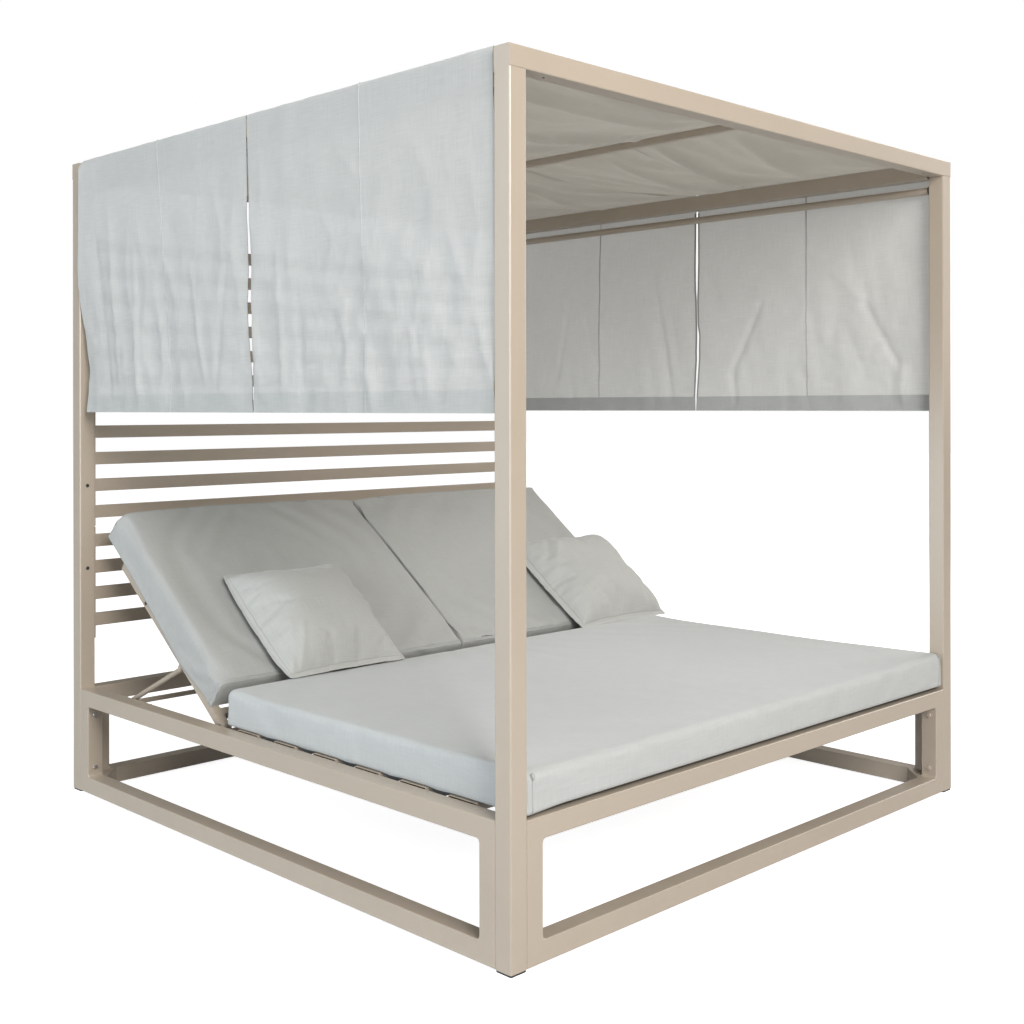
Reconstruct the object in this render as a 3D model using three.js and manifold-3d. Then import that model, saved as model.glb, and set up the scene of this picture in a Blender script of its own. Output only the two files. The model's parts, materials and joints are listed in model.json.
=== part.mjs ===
// Outdoor daybed with a canopy: four square posts, two end beams that cap them, four welded base
// frames, a slatted head panel, a slatted bed platform with two adjustable backrests, loose cushions
// and two lengths of thin cloth that hang over the roof bars.
//
// Lengths are millimetres. +X runs along the foot end, +Y from the foot to the head, +Z up. The
// origin is on the ground under the middle of the frame.

import * as THREE from "three";
import { mergeVertices } from "three/addons/utils/BufferGeometryUtils.js";
import Module from "manifold-3d";

const wasm = await Module();
wasm.setup();

// Overall sizes and the square tube that everything is made from
const overallWidth = 1980;
const overallDepth = 2000;
const frameHeight = 2000;
const glideHeight = 5;
const tubeSize = 50;
const tubeWall = 2;
const tubeCorner = 3;
const fitGap = 0.3;
const cutOverrun = 5;
const weepHoleRadius = 4;
const weepHoleInset = 80;

// Welded base frames between the posts
const baseFrameHeight = 322;
const windowCorner = 9;
const frameEdge = 1.5;
const screwHeadRadius = 8;
const screwHeadHeight = 4;
const screwHeadSink = 2;
const screwInset = 28;
const gussetLeg = 75;
const gussetPlate = 4;
const gussetWebHeight = 44;

// Head panel: flat bars welded between two side straps
const panelSlatHeight = 40;
const panelSlatDepth = 20;
const panelSlatCorner = 2;
const panelStrapThickness = 8;
const panelStrapDepth = 30;
const panelSetBack = 10;
const lowerSlatCount = 4;
const lowerSlatPitch = 85;
const lowestSlatBottom = 520;
const panelTopGap = 150;
const upperSlatPitch = 86;
const panelBreak = 53;
const strapOverhang = 38;
const panelScrewRadius = 6;
const panelScrewHeight = 2.5;

// Canopy bars
const clothSeatDrop = 5;
const sideBeamSetBack = 10;
const roofBarSize = 20;
const roofBarWall = 1.5;
const rodRadius = 12;
const rodWall = 1.5;
const rodBelowBeam = 35;
const socketWall = 2;
const socketBase = 4;
const socketDepth = 8;
const socketFlange = 4;

// Canopy cloth
const clothThickness = 2.4;
const clothEndGap = 8;
const clothSlit = 10;
const curtainDrop = 795;
const clothHemHeight = 60;
const clothHemExtra = 1.6;
const roofSag = 42;
const roofRippleShare = 0.4;
const curtainRipple = 5;
const curtainRippleWidth = 310;
const dropSteps = 7;
const cornerSteps = 2;
const roofSteps = 9;
const clothCrossSteps = 8;

// Bed platform
const slatCount = 6;
const slatWidth = 95;
const slatThickness = 20;
const slatWall = 1.5;
const lastSlatFromHinge = 152;
const firstSlatFromFoot = 160;
const slatTopAboveRail = 3;
const slatEndGap = 2;
const ledgeWidth = 30;
const ledgeThickness = 3;
const centreRailWidth = 40;
const centreRailWall = 2;

// Backrests, measured along the frame from the hinge and square to it
const hingeFromHead = 718;
const hingeBeamDepth = 40;
const hingeBeamHeight = 27;
const backrestAngle = 36.5;
const railSize = 25;
const railCorner = 2;
const railLength = 690;
const railSideGap = 10;
const centreHalfGap = 6;
const lowerBarPlace = 45;
const backSlatWidth = 60;
const backSlatThickness = 12;
const backSlatPlaces = [165, 400, 520];
const frameBoltPlace = 515;
const lugThickness = 5;
const lugGap = 1;
const lugRadius = 12;
const pinRadius = 5;
const pinHeadRadius = 8;
const pinHeadThickness = 2.4;
const pinEnd = 3;

// Props that hold the backrests, and the toothed racks that they stand in
const stayPivotPlace = 256;
const stayPivotDrop = 22;
const stayRadius = 8;
const stayLength = 365;
const stayLugThickness = 4;
const stayLugRadius = 9;
const stayPinRadius = 4;
const stayPinHead = 1.5;
const stayPinHeadRadius = 6.5;
const rackThickness = 6;
const rackGap = 2;
const rackBase = 12;
const rackToothHeight = 37;
const rackToothTip = 10;
const notchCount = 4;
const notchPitch = 52;
const notchClearance = 1;

// Cushions
const mattressThickness = 100;
const mattressFootInset = 15;
const mattressSideGap = 6;
const mattressHeadEnd = 40;
const mattressCrown = 3;
const cushionThickness = 97;
const cushionLength = 750;
const cushionStart = 65;
const cushionCrown = 3;
const cushionEdge = 24;
const cushionDrawIn = 4;
const cushionMiddleGap = 5;
const pillowSize = 450;
const pillowThickness = 130;
const pillowEdge = 14;
const pillowDrawIn = 13;
const pillowStart = 16;
const pillowGap = 0.4;
const pillowBackShare = 0.16;
const leftPillowInset = 423;
const rightPillowInset = 182;

const roundSteps = 20;
const smallRoundSteps = 12;
const cornerCurveSteps = 1;
const lugCurveSteps = 5;
const mergeDistance = 0.0001;

// Worked out from the sizes above
const halfWidth = overallWidth / 2;
const halfDepth = overallDepth / 2;
const innerX = halfWidth - tubeSize;
const innerY = halfDepth - tubeSize;
const topZ = glideHeight + frameHeight;
const postTopZ = topZ - tubeSize;
const postHeight = postTopZ - glideHeight;
const railTopZ = glideHeight + baseFrameHeight;
const railBottomZ = railTopZ - tubeSize;
const slatTopZ = railTopZ + slatTopAboveRail;
const ledgeTopZ = slatTopZ - slatThickness;
const hingeY = innerY - hingeFromHead;
const hingeZ = slatTopZ + lugGap - railSize / 2;
const backAngle = THREE.MathUtils.degToRad(backrestAngle);
const outerRailX = innerX - railSideGap;
const backrestWidth = outerRailX - centreHalfGap;
const backrestCentreX = centreHalfGap + backrestWidth / 2;

const frameFinish = new THREE.MeshStandardMaterial({ color: 0xc6bbae, roughness: 0.55, metalness: 0.25 });
const plasticFinish = new THREE.MeshStandardMaterial({ color: 0x2b2a29, roughness: 0.6, metalness: 0 });
const steelFinish = new THREE.MeshStandardMaterial({ color: 0x8c8a86, roughness: 0.35, metalness: 0.9 });
const cushionFinish = new THREE.MeshStandardMaterial({ color: 0xb3b5b2, roughness: 0.95, metalness: 0 });
const clothFinish = new THREE.MeshStandardMaterial({ color: 0xc3c7c8, roughness: 0.9, metalness: 0 });

const group = new THREE.Group();

function add(parent, name, geometry, material, x = 0, y = 0, z = 0) {
  const mesh = new THREE.Mesh(geometry, material);
  mesh.name = name;
  mesh.position.set(x, y, z);
  parent.add(mesh);
  return mesh;
}

// Joining and cutting

function solidOf(geometry) {
  const plain = geometry.clone();
  plain.deleteAttribute("normal");
  plain.deleteAttribute("uv");
  const merged = mergeVertices(plain, mergeDistance);
  const vertProperties = new Float32Array(merged.attributes.position.array);
  const triVerts = new Uint32Array(merged.index.array);
  return new wasm.Manifold(new wasm.Mesh({ numProp: 3, vertProperties, triVerts }));
}

function geometryOf(manifold) {
  const mesh = manifold.getMesh();
  const geometry = new THREE.BufferGeometry();
  geometry.setAttribute("position", new THREE.BufferAttribute(mesh.vertProperties, 3));
  geometry.setIndex(new THREE.BufferAttribute(mesh.triVerts, 1));
  geometry.computeVertexNormals();
  return geometry;
}

function joined(geometries) {
  return geometries.map(solidOf).reduce((sum, next) => sum.add(next));
}

// Sections and bars

function roundedRectangle(path, width, height, corner) {
  const x = width / 2;
  const y = height / 2;
  path.moveTo(x, corner - y);
  path.absarc(x - corner, y - corner, corner, 0, Math.PI / 2);
  path.absarc(corner - x, y - corner, corner, Math.PI / 2, Math.PI);
  path.absarc(corner - x, corner - y, corner, Math.PI, 1.5 * Math.PI);
  path.absarc(x - corner, corner - y, corner, 1.5 * Math.PI, 2 * Math.PI);
  return path;
}

function tubeSection(width, height, corner, wall = 0) {
  const shape = roundedRectangle(new THREE.Shape(), width, height, corner);
  if (wall > 0) {
    const inside = Math.max(corner - wall, corner / 2);
    shape.holes.push(roundedRectangle(new THREE.Path(), width - 2 * wall, height - 2 * wall, inside));
  }
  return shape;
}

function prism(shape, length, curveSegments = cornerCurveSteps) {
  const settings = { depth: length, bevelEnabled: false, curveSegments };
  return new THREE.ExtrudeGeometry(shape, settings).translate(0, 0, -length / 2);
}

function barX(length, depth, height, corner, wall) {
  return prism(tubeSection(height, depth, corner, wall), length).rotateY(Math.PI / 2);
}

function barY(length, width, height, corner, wall) {
  return prism(tubeSection(width, height, corner, wall), length).rotateX(Math.PI / 2);
}

function roundBarX(radius, length, steps = smallRoundSteps) {
  return new THREE.CylinderGeometry(radius, radius, length, steps).rotateZ(-Math.PI / 2);
}

// A plate drawn in the Y-Z plane, with its thickness along X
function plateX(shape, thickness) {
  return prism(shape, thickness, lugCurveSteps).rotateY(Math.PI / 2).rotateX(Math.PI / 2);
}

// A plate in the Y-Z plane with a round end about the origin and a square one at the given place
function roundEndedPlate(radius, squareEnd) {
  const shape = new THREE.Shape();
  shape.moveTo(squareEnd, -radius);
  shape.lineTo(squareEnd, radius);
  shape.lineTo(0, radius);
  shape.absarc(0, 0, radius, Math.PI / 2, 1.5 * Math.PI);
  shape.closePath();
  return shape;
}

// Round screw head on the +Z axis, with its underside sunk a little for joining
function screwHead(radius, height) {
  const profile = [
    new THREE.Vector2(0, -screwHeadSink),
    new THREE.Vector2(radius, -screwHeadSink),
    new THREE.Vector2(radius, 0),
    new THREE.Vector2(radius * Math.cos(Math.PI / 5), height * Math.sin(Math.PI / 3)),
    new THREE.Vector2(0, height),
  ];
  return new THREE.LatheGeometry(profile, smallRoundSteps).rotateX(Math.PI / 2);
}

// Posts, with the screws of the head panel on the two rear ones

function panelSlatHeights() {
  const heights = [];
  for (let i = 0; i < lowerSlatCount; i += 1) {
    heights.push(lowestSlatBottom + i * lowerSlatPitch + panelSlatHeight / 2);
  }
  const firstUpper = heights[lowerSlatCount - 1] + panelSlatHeight + panelBreak;
  const highest = postTopZ - panelTopGap - panelSlatHeight / 2;
  for (let z = firstUpper; z <= highest; z += upperSlatPitch) {
    heights.push(z);
  }
  return heights;
}

const slatHeights = panelSlatHeights();
const lowerPanelHeights = slatHeights.slice(0, lowerSlatCount);
const upperPanelHeights = slatHeights.slice(lowerSlatCount);
const upperSlatCount = upperPanelHeights.length;

function postGeometry(hasPanelScrews) {
  const tube = prism(tubeSection(tubeSize, tubeSize, tubeCorner, tubeWall), postHeight);
  if (!hasPanelScrews) {
    return tube;
  }
  const middle = glideHeight + postHeight / 2;
  const screwHeights = [lowerPanelHeights[2], upperPanelHeights[1], upperPanelHeights[upperSlatCount - 3]];
  const heads = screwHeights.map((z) =>
    screwHead(panelScrewRadius, panelScrewHeight).rotateX(Math.PI / 2).translate(0, -tubeSize / 2, z - middle)
  );
  return geometryOf(joined([tube, ...heads]));
}

function glideGeometry() {
  const flangeSize = tubeSize - 2 * frameEdge;
  const plugSize = tubeSize - 2 * tubeWall - 2 * fitGap;
  const plugHeight = tubeSize / 2;
  const flange = prism(tubeSection(flangeSize, flangeSize, tubeCorner), glideHeight);
  const plug = prism(tubeSection(plugSize, plugSize, tubeCorner / 2), plugHeight + glideHeight / 2);
  flange.translate(0, 0, glideHeight / 2);
  plug.translate(0, 0, glideHeight + plugHeight / 2 - glideHeight / 4);
  return geometryOf(joined([flange, plug]));
}

const corners = [
  { name: "front_left", side: -1, end: -1 },
  { name: "front_right", side: 1, end: -1 },
  { name: "rear_left", side: -1, end: 1 },
  { name: "rear_right", side: 1, end: 1 },
];
const postX = halfWidth - tubeSize / 2;
const postY = halfDepth - tubeSize / 2;
for (const { name, side, end } of corners) {
  add(group, `post_${name}`, postGeometry(end > 0), frameFinish, side * postX, end * postY, glideHeight + postHeight / 2);
  add(group, `post_glide_${name}`, glideGeometry(), plasticFinish, side * postX, end * postY, 0);
}

// End beams: closed tubes with a weep hole under each end

function endBeamGeometry() {
  const outer = solidOf(barX(overallWidth, tubeSize, tubeSize, tubeCorner));
  const insideSize = tubeSize - 2 * tubeWall;
  const inner = solidOf(barX(overallWidth - 2 * tubeWall, insideSize, insideSize, tubeCorner / 2));
  let beam = outer.subtract(inner);
  for (const side of [-1, 1]) {
    const hole = new THREE.CylinderGeometry(weepHoleRadius, weepHoleRadius, tubeSize / 2, smallRoundSteps);
    hole.rotateX(Math.PI / 2).translate(side * (innerX - weepHoleInset), 0, -tubeSize / 2);
    beam = beam.subtract(solidOf(hole));
  }
  return geometryOf(beam);
}

const beamZ = topZ - tubeSize / 2;
add(group, "foot_beam", endBeamGeometry(), frameFinish, 0, -postY, beamZ);
add(group, "head_beam", endBeamGeometry(), frameFinish, 0, postY, beamZ);

// Side beams, roof bar and curtain rods run from the foot beam to the head beam

const seatZ = topZ - clothSeatDrop;
const sideBeamX = halfWidth - sideBeamSetBack - tubeSize / 2;
const sideBeamOuterX = sideBeamX + tubeSize / 2;
const socketCup = rodRadius + fitGap + socketWall;
const rodX = sideBeamOuterX - socketCup - socketFlange;
const rodZ = seatZ - tubeSize - rodBelowBeam;
const rodHalfLength = innerY - socketBase - fitGap;

function curtainRod() {
  const inside = rodRadius - rodWall;
  const profile = [
    new THREE.Vector2(inside, -rodHalfLength),
    new THREE.Vector2(rodRadius, -rodHalfLength),
    new THREE.Vector2(rodRadius, rodHalfLength),
    new THREE.Vector2(inside, rodHalfLength),
    new THREE.Vector2(inside, -rodHalfLength),
  ];
  return new THREE.LatheGeometry(profile, roundSteps);
}

function rodSocket() {
  const bore = rodRadius + fitGap;
  const profile = [
    new THREE.Vector2(0, 0),
    new THREE.Vector2(socketCup + socketFlange, 0),
    new THREE.Vector2(socketCup + socketFlange, socketBase / 2),
    new THREE.Vector2(socketCup, socketBase),
    new THREE.Vector2(socketCup, socketDepth),
    new THREE.Vector2(bore, socketDepth),
    new THREE.Vector2(bore, socketBase),
    new THREE.Vector2(0, socketBase),
  ];
  return new THREE.LatheGeometry(profile, roundSteps);
}

for (const [name, side] of [["left", -1], ["right", 1]]) {
  const beam = barY(2 * innerY, tubeSize, tubeSize, tubeCorner, tubeWall);
  add(group, `side_beam_${name}`, beam, frameFinish, side * sideBeamX, 0, seatZ - tubeSize / 2);
  add(group, `curtain_rod_${name}`, curtainRod(), frameFinish, side * rodX, 0, rodZ);
  for (const [endName, end] of [["front", -1], ["rear", 1]]) {
    const socket = add(group, `rod_socket_${endName}_${name}`, rodSocket(), plasticFinish, side * rodX, end * innerY, rodZ);
    socket.rotation.z = end > 0 ? Math.PI : 0;
  }
}
const roofBar = barY(2 * innerY, roofBarSize, roofBarSize, tubeCorner, roofBarWall);
add(group, "roof_bar", roofBar, frameFinish, 0, 0, seatZ - roofBarSize / 2);

// Base frames: one welded window frame on each side, screwed to the posts from inside the window

function baseFrameGeometry(length) {
  const outline = new THREE.Shape();
  outline.moveTo(-length / 2, -baseFrameHeight / 2);
  outline.lineTo(length / 2, -baseFrameHeight / 2);
  outline.lineTo(length / 2, baseFrameHeight / 2);
  outline.lineTo(-length / 2, baseFrameHeight / 2);
  outline.closePath();
  const windowWidth = length - 2 * tubeSize;
  const windowHeight = baseFrameHeight - 2 * tubeSize;
  outline.holes.push(roundedRectangle(new THREE.Path(), windowWidth, windowHeight, windowCorner));
  const frame = new THREE.ExtrudeGeometry(outline, {
    depth: tubeSize - 2 * frameEdge,
    bevelEnabled: true,
    bevelThickness: frameEdge,
    bevelSize: frameEdge,
    bevelOffset: -frameEdge,
    bevelSegments: 1,
    curveSegments: cornerCurveSteps,
  });
  frame.translate(0, 0, frameEdge - tubeSize / 2).rotateX(Math.PI / 2);
  const heads = [];
  for (const side of [-1, 1]) {
    for (const level of [-1, 1]) {
      const head = screwHead(screwHeadRadius, screwHeadHeight).rotateY((-side * Math.PI) / 2);
      heads.push(head.translate((side * windowWidth) / 2, 0, level * (windowHeight / 2 - screwInset)));
    }
  }
  return geometryOf(joined([frame, ...heads]));
}

const baseFrameZ = glideHeight + baseFrameHeight / 2;
add(group, "base_frame_foot", baseFrameGeometry(2 * innerX), frameFinish, 0, -postY, baseFrameZ);
add(group, "base_frame_head", baseFrameGeometry(2 * innerX), frameFinish, 0, postY, baseFrameZ);
for (const [name, side] of [["left", -1], ["right", 1]]) {
  const frame = add(group, `base_frame_${name}`, baseFrameGeometry(2 * innerY), frameFinish, side * postX, 0, baseFrameZ);
  frame.rotation.z = Math.PI / 2;
}

// Corner gussets, flush with the top of the lower rails

function gussetGeometry(inX, inY) {
  const plate = new THREE.Shape();
  plate.moveTo(0, 0);
  plate.lineTo(inX * gussetLeg, 0);
  plate.lineTo(0, inY * gussetLeg);
  plate.closePath();
  const webBack = gussetLeg - gussetPlate * Math.SQRT2;
  const web = new THREE.Shape();
  web.moveTo(inX * gussetLeg, 0);
  web.lineTo(0, inY * gussetLeg);
  web.lineTo(0, inY * webBack);
  web.lineTo(inX * webBack, 0);
  web.closePath();
  return geometryOf(joined([
    prism(plate, gussetPlate).translate(0, 0, -gussetPlate / 2),
    prism(web, gussetWebHeight).translate(0, 0, -gussetWebHeight / 2),
  ]));
}

for (const { name, side, end } of corners) {
  const geometry = gussetGeometry(-side, -end);
  add(group, `corner_gusset_${name}`, geometry, frameFinish, side * innerX, end * innerY, glideHeight + tubeSize);
}

// Head panel in two welded sections, screwed between the rear posts

function headPanelGeometry(heights, bottom, top) {
  const strapX = innerX - panelStrapThickness / 2;
  const strap = () => barY(panelStrapDepth, panelStrapThickness, top - bottom, panelSlatCorner);
  const pieces = [-1, 1].map((side) => strap().translate(side * strapX, 0, (top + bottom) / 2));
  for (const z of heights) {
    const length = 2 * innerX - panelStrapThickness;
    pieces.push(barX(length, panelSlatDepth, panelSlatHeight, panelSlatCorner).translate(0, 0, z));
  }
  return geometryOf(joined(pieces));
}

const panelY = innerY + panelSetBack + panelStrapDepth / 2;
const lowerPanelBottom = lowestSlatBottom - strapOverhang;
const lowerPanelTop = lowerPanelHeights[lowerSlatCount - 1] + panelSlatHeight / 2 + panelBreak / 2 - lugGap;
const upperPanelBottom = lowerPanelTop + 2 * lugGap;
const upperPanelTop = upperPanelHeights[upperSlatCount - 1] + panelSlatHeight / 2 + strapOverhang;
const lowerPanel = headPanelGeometry(lowerPanelHeights, lowerPanelBottom, lowerPanelTop);
const upperPanel = headPanelGeometry(upperPanelHeights, upperPanelBottom, upperPanelTop);
add(group, "head_panel_lower", lowerPanel, frameFinish, 0, panelY, 0);
add(group, "head_panel_upper", upperPanel, frameFinish, 0, panelY, 0);

// Platform: ledges on the side frames, a centre rail, cross slats and the hinge beam

const hingeBeamFront = hingeY - hingeBeamDepth / 2;
const hingeBeamRear = hingeY + hingeBeamDepth / 2;
const ledgeLength = hingeBeamFront + innerY;
const ledgeMiddleY = (hingeBeamFront - innerY) / 2;

function ledgeGeometry(side) {
  const height = ledgeTopZ - railBottomZ;
  const shape = new THREE.Shape();
  shape.moveTo(side * innerX, railBottomZ);
  shape.lineTo(side * innerX, ledgeTopZ);
  shape.lineTo(side * (innerX - ledgeWidth), ledgeTopZ);
  shape.lineTo(side * (innerX - ledgeWidth), ledgeTopZ - ledgeThickness);
  shape.lineTo(side * (innerX - ledgeThickness), ledgeTopZ - ledgeThickness);
  shape.lineTo(side * (innerX - ledgeThickness), ledgeTopZ - height);
  shape.closePath();
  return prism(shape, ledgeLength).rotateX(Math.PI / 2);
}

add(group, "slat_ledge_left", ledgeGeometry(-1), frameFinish, 0, ledgeMiddleY, 0);
add(group, "slat_ledge_right", ledgeGeometry(1), frameFinish, 0, ledgeMiddleY, 0);

const centreRailHeight = ledgeTopZ - railBottomZ;
const centreRail = barY(ledgeLength, centreRailWidth, centreRailHeight, tubeCorner, centreRailWall);
add(group, "centre_rail", centreRail, frameFinish, 0, ledgeMiddleY, ledgeTopZ - centreRailHeight / 2);

const slatPitch = (hingeY - lastSlatFromHinge + innerY - firstSlatFromFoot) / (slatCount - 1);
for (let i = 0; i < slatCount; i += 1) {
  const slat = barX(2 * (innerX - slatEndGap), slatWidth, slatThickness, tubeCorner, slatWall);
  const y = -innerY + firstSlatFromFoot + i * slatPitch;
  add(group, `bed_slat_${i + 1}`, slat, frameFinish, 0, y, slatTopZ - slatThickness / 2);
}

const lugXs = [outerRailX - railSize - lugGap - lugThickness / 2, centreHalfGap + railSize + lugGap + lugThickness / 2];

function hingeBeamGeometry() {
  const beamTopZ = railBottomZ + hingeBeamHeight;
  const beam = barX(2 * innerX, hingeBeamDepth, hingeBeamHeight, tubeCorner).translate(0, 0, beamTopZ - hingeBeamHeight / 2);
  const pieces = [beam];
  const holes = [];
  for (const side of [-1, 1]) {
    for (const lugX of lugXs) {
      const shape = new THREE.Shape();
      shape.moveTo(-lugRadius, beamTopZ - hingeZ - cutOverrun);
      shape.lineTo(lugRadius, beamTopZ - hingeZ - cutOverrun);
      shape.lineTo(lugRadius, 0);
      shape.absarc(0, 0, lugRadius, 0, Math.PI);
      shape.closePath();
      pieces.push(plateX(shape, lugThickness).translate(side * lugX, 0, hingeZ));
      holes.push(roundBarX(pinRadius + fitGap, lugThickness + cutOverrun).translate(side * lugX, 0, hingeZ));
    }
  }
  return geometryOf(joined(pieces).subtract(joined(holes)));
}

add(group, "hinge_beam", hingeBeamGeometry(), frameFinish, 0, hingeY, 0);

// Hinge pins: headed, through a backrest rail into a lug of the hinge beam

function hingePinGeometry(headX, endX) {
  const toEnd = Math.sign(endX - headX);
  const headMiddle = headX + (toEnd * pinHeadThickness) / 2;
  const shaftStart = headX + (toEnd * pinHeadThickness) / 2;
  const head = roundBarX(pinHeadRadius, pinHeadThickness).translate(headMiddle, 0, 0);
  const shaft = roundBarX(pinRadius, Math.abs(endX - shaftStart)).translate((endX + shaftStart) / 2, 0, 0);
  return geometryOf(joined([head, shaft]));
}

for (const [name, side] of [["left", -1], ["right", 1]]) {
  const outerHead = outerRailX + fitGap + pinHeadThickness;
  const outerEnd = lugXs[0] - lugThickness / 2 - pinEnd;
  const innerHead = centreHalfGap - fitGap - pinHeadThickness;
  const innerEnd = lugXs[1] + lugThickness / 2 + pinEnd;
  const outerPin = hingePinGeometry(side * outerHead, side * outerEnd);
  const innerPin = hingePinGeometry(side * innerHead, side * innerEnd);
  add(group, `hinge_pin_${name}_outer`, outerPin, steelFinish, 0, hingeY, hingeZ);
  add(group, `hinge_pin_${name}_inner`, innerPin, steelFinish, 0, hingeY, hingeZ);
}

// Racks: toothed plates that the foot of each prop stands in

const stayFootZ = railBottomZ + rackBase + stayRadius;
const pivotY = hingeY + stayPivotPlace * Math.cos(backAngle) + stayPivotDrop * Math.sin(backAngle);
const pivotZ = hingeZ + stayPivotPlace * Math.sin(backAngle) - stayPivotDrop * Math.cos(backAngle);
const stayAngle = Math.asin((pivotZ - stayFootZ) / stayLength);
const stayFootY = pivotY + stayLength * Math.cos(stayAngle);

function rackGeometry() {
  const bottom = railBottomZ;
  const floor = bottom + rackBase;
  const tip = floor + rackToothHeight;
  const radius = stayRadius + notchClearance;
  const shape = new THREE.Shape();
  shape.moveTo(hingeBeamRear, bottom);
  shape.lineTo(innerY, bottom);
  shape.lineTo(innerY, floor);
  shape.lineTo(stayFootY + notchPitch / 2 + rackToothTip / 2, floor);
  for (let i = 0; i < notchCount; i += 1) {
    const notchY = stayFootY - i * notchPitch;
    const tipSide = (notchPitch - rackToothTip) / 2;
    shape.lineTo(notchY + notchPitch / 2 + rackToothTip / 2, tip - rackToothTip);
    shape.lineTo(notchY + tipSide, tip);
    shape.lineTo(notchY + radius, floor + radius);
    shape.absarc(notchY, floor + radius, radius, 0, -Math.PI, true);
    shape.lineTo(notchY - tipSide, tip);
  }
  const lastTooth = stayFootY - (notchCount - 1) * notchPitch - (notchPitch + rackToothTip) / 2;
  shape.lineTo(lastTooth, tip - rackToothTip);
  shape.lineTo(lastTooth, floor);
  shape.lineTo(hingeBeamRear, floor);
  shape.closePath();
  return plateX(shape, rackThickness);
}

const rackX = innerX - rackThickness / 2;
add(group, "prop_rack_left", rackGeometry(), frameFinish, -rackX, 0, 0);
add(group, "prop_rack_centre", rackGeometry(), frameFinish, 0, 0, 0);
add(group, "prop_rack_right", rackGeometry(), frameFinish, rackX, 0, 0);

// Backrest frames, in the frame's own coordinates: x across, y up the backrest, z square to it

const railXs = [outerRailX - railSize / 2, centreHalfGap + railSize / 2];

function backrestFrameGeometry(side) {
  const pieces = [];
  const holes = [];
  for (const railX of railXs) {
    pieces.push(plateX(roundEndedPlate(railSize / 2, railLength), railSize).translate(side * railX, 0, 0));
    holes.push(roundBarX(pinRadius + fitGap, railSize + cutOverrun).translate(side * railX, 0, 0));
    for (const edge of [-1, 1]) {
      const lugX = railX + (edge * (railSize - stayLugThickness)) / 2;
      const shape = new THREE.Shape();
      shape.moveTo(-stayLugRadius, railSize / 4);
      shape.lineTo(-stayLugRadius, 0);
      shape.absarc(0, 0, stayLugRadius, Math.PI, 2 * Math.PI);
      shape.lineTo(stayLugRadius, stayPivotDrop);
      shape.lineTo(-stayLugRadius, stayPivotDrop);
      shape.closePath();
      const lug = plateX(shape, stayLugThickness);
      pieces.push(lug.translate(side * lugX, stayPivotPlace, -stayPivotDrop));
      const hole = roundBarX(stayPinRadius + fitGap, stayLugThickness + cutOverrun);
      holes.push(hole.translate(side * lugX, stayPivotPlace, -stayPivotDrop));
    }
  }
  const barLength = backrestWidth - railSize;
  for (const y of [lowerBarPlace, railLength - railSize / 2]) {
    pieces.push(barX(barLength, railSize, railSize, railCorner).translate(side * backrestCentreX, y, 0));
  }
  for (const y of backSlatPlaces) {
    const slat = barX(barLength, backSlatWidth, backSlatThickness, railCorner);
    pieces.push(slat.translate(side * backrestCentreX, y, (railSize - backSlatThickness) / 2));
  }
  const bolt = screwHead(stayPinHeadRadius, stayPinHead).rotateY((side * Math.PI) / 2);
  pieces.push(bolt.translate(side * outerRailX, frameBoltPlace, 0));
  return geometryOf(joined(pieces).subtract(joined(holes)));
}

// Props: a bent tube with two legs and a cross bar, pinned between the lugs of the backrest

function stayGeometry(side) {
  const pieces = [];
  for (const railX of railXs) {
    const leg = new THREE.CylinderGeometry(stayRadius, stayRadius, stayLength, smallRoundSteps);
    pieces.push(leg.translate(side * railX, stayLength / 2, 0));
    pieces.push(new THREE.SphereGeometry(stayRadius, smallRoundSteps, smallRoundSteps / 2).translate(side * railX, 0, 0));
  }
  const outside = railXs[0] + railSize / 2;
  const inside = railXs[1] - railSize / 2;
  const pinEnds = [
    [outside + fitGap + stayPinHead, railXs[0] - railSize / 2 - fitGap, 1],
    [inside - fitGap - stayPinHead, railXs[1] + railSize / 2 + fitGap, -1],
  ];
  for (const [headX, endX, direction] of pinEnds) {
    const shaft = roundBarX(stayPinRadius, Math.abs(headX - endX));
    pieces.push(shaft.translate((side * (headX + endX)) / 2, 0, 0));
    const headMiddle = headX - (direction * stayPinHead) / 2;
    pieces.push(roundBarX(stayPinHeadRadius, stayPinHead).translate(side * headMiddle, 0, 0));
  }
  const barStart = rackThickness / 2 + rackGap;
  const barEnd = innerX - rackThickness - rackGap;
  const bar = roundBarX(stayRadius, barEnd - barStart);
  pieces.push(bar.translate((side * (barEnd + barStart)) / 2, stayLength, 0));
  return geometryOf(joined(pieces));
}

// Soft parts

// A grid place from -1 to 1, with its outer steps drawn in to the last stretch before the edge
function edgeSpaced(t, steps, edgeShare) {
  const inner = 1 - 4 / steps;
  const size = Math.abs(t);
  if (size <= inner) {
    return size > 0 ? (t / inner) * (1 - edgeShare) : 0;
  }
  return Math.sign(t) * (1 - ((1 - size) / (1 - inner)) * edgeShare);
}

// How much of the crown is lost at a place on the top: none in the middle, all of it at an edge
function crownLossShare(u, v) {
  return 1 - (1 - Math.pow(u, 4)) * (1 - Math.pow(v, 4));
}

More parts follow.
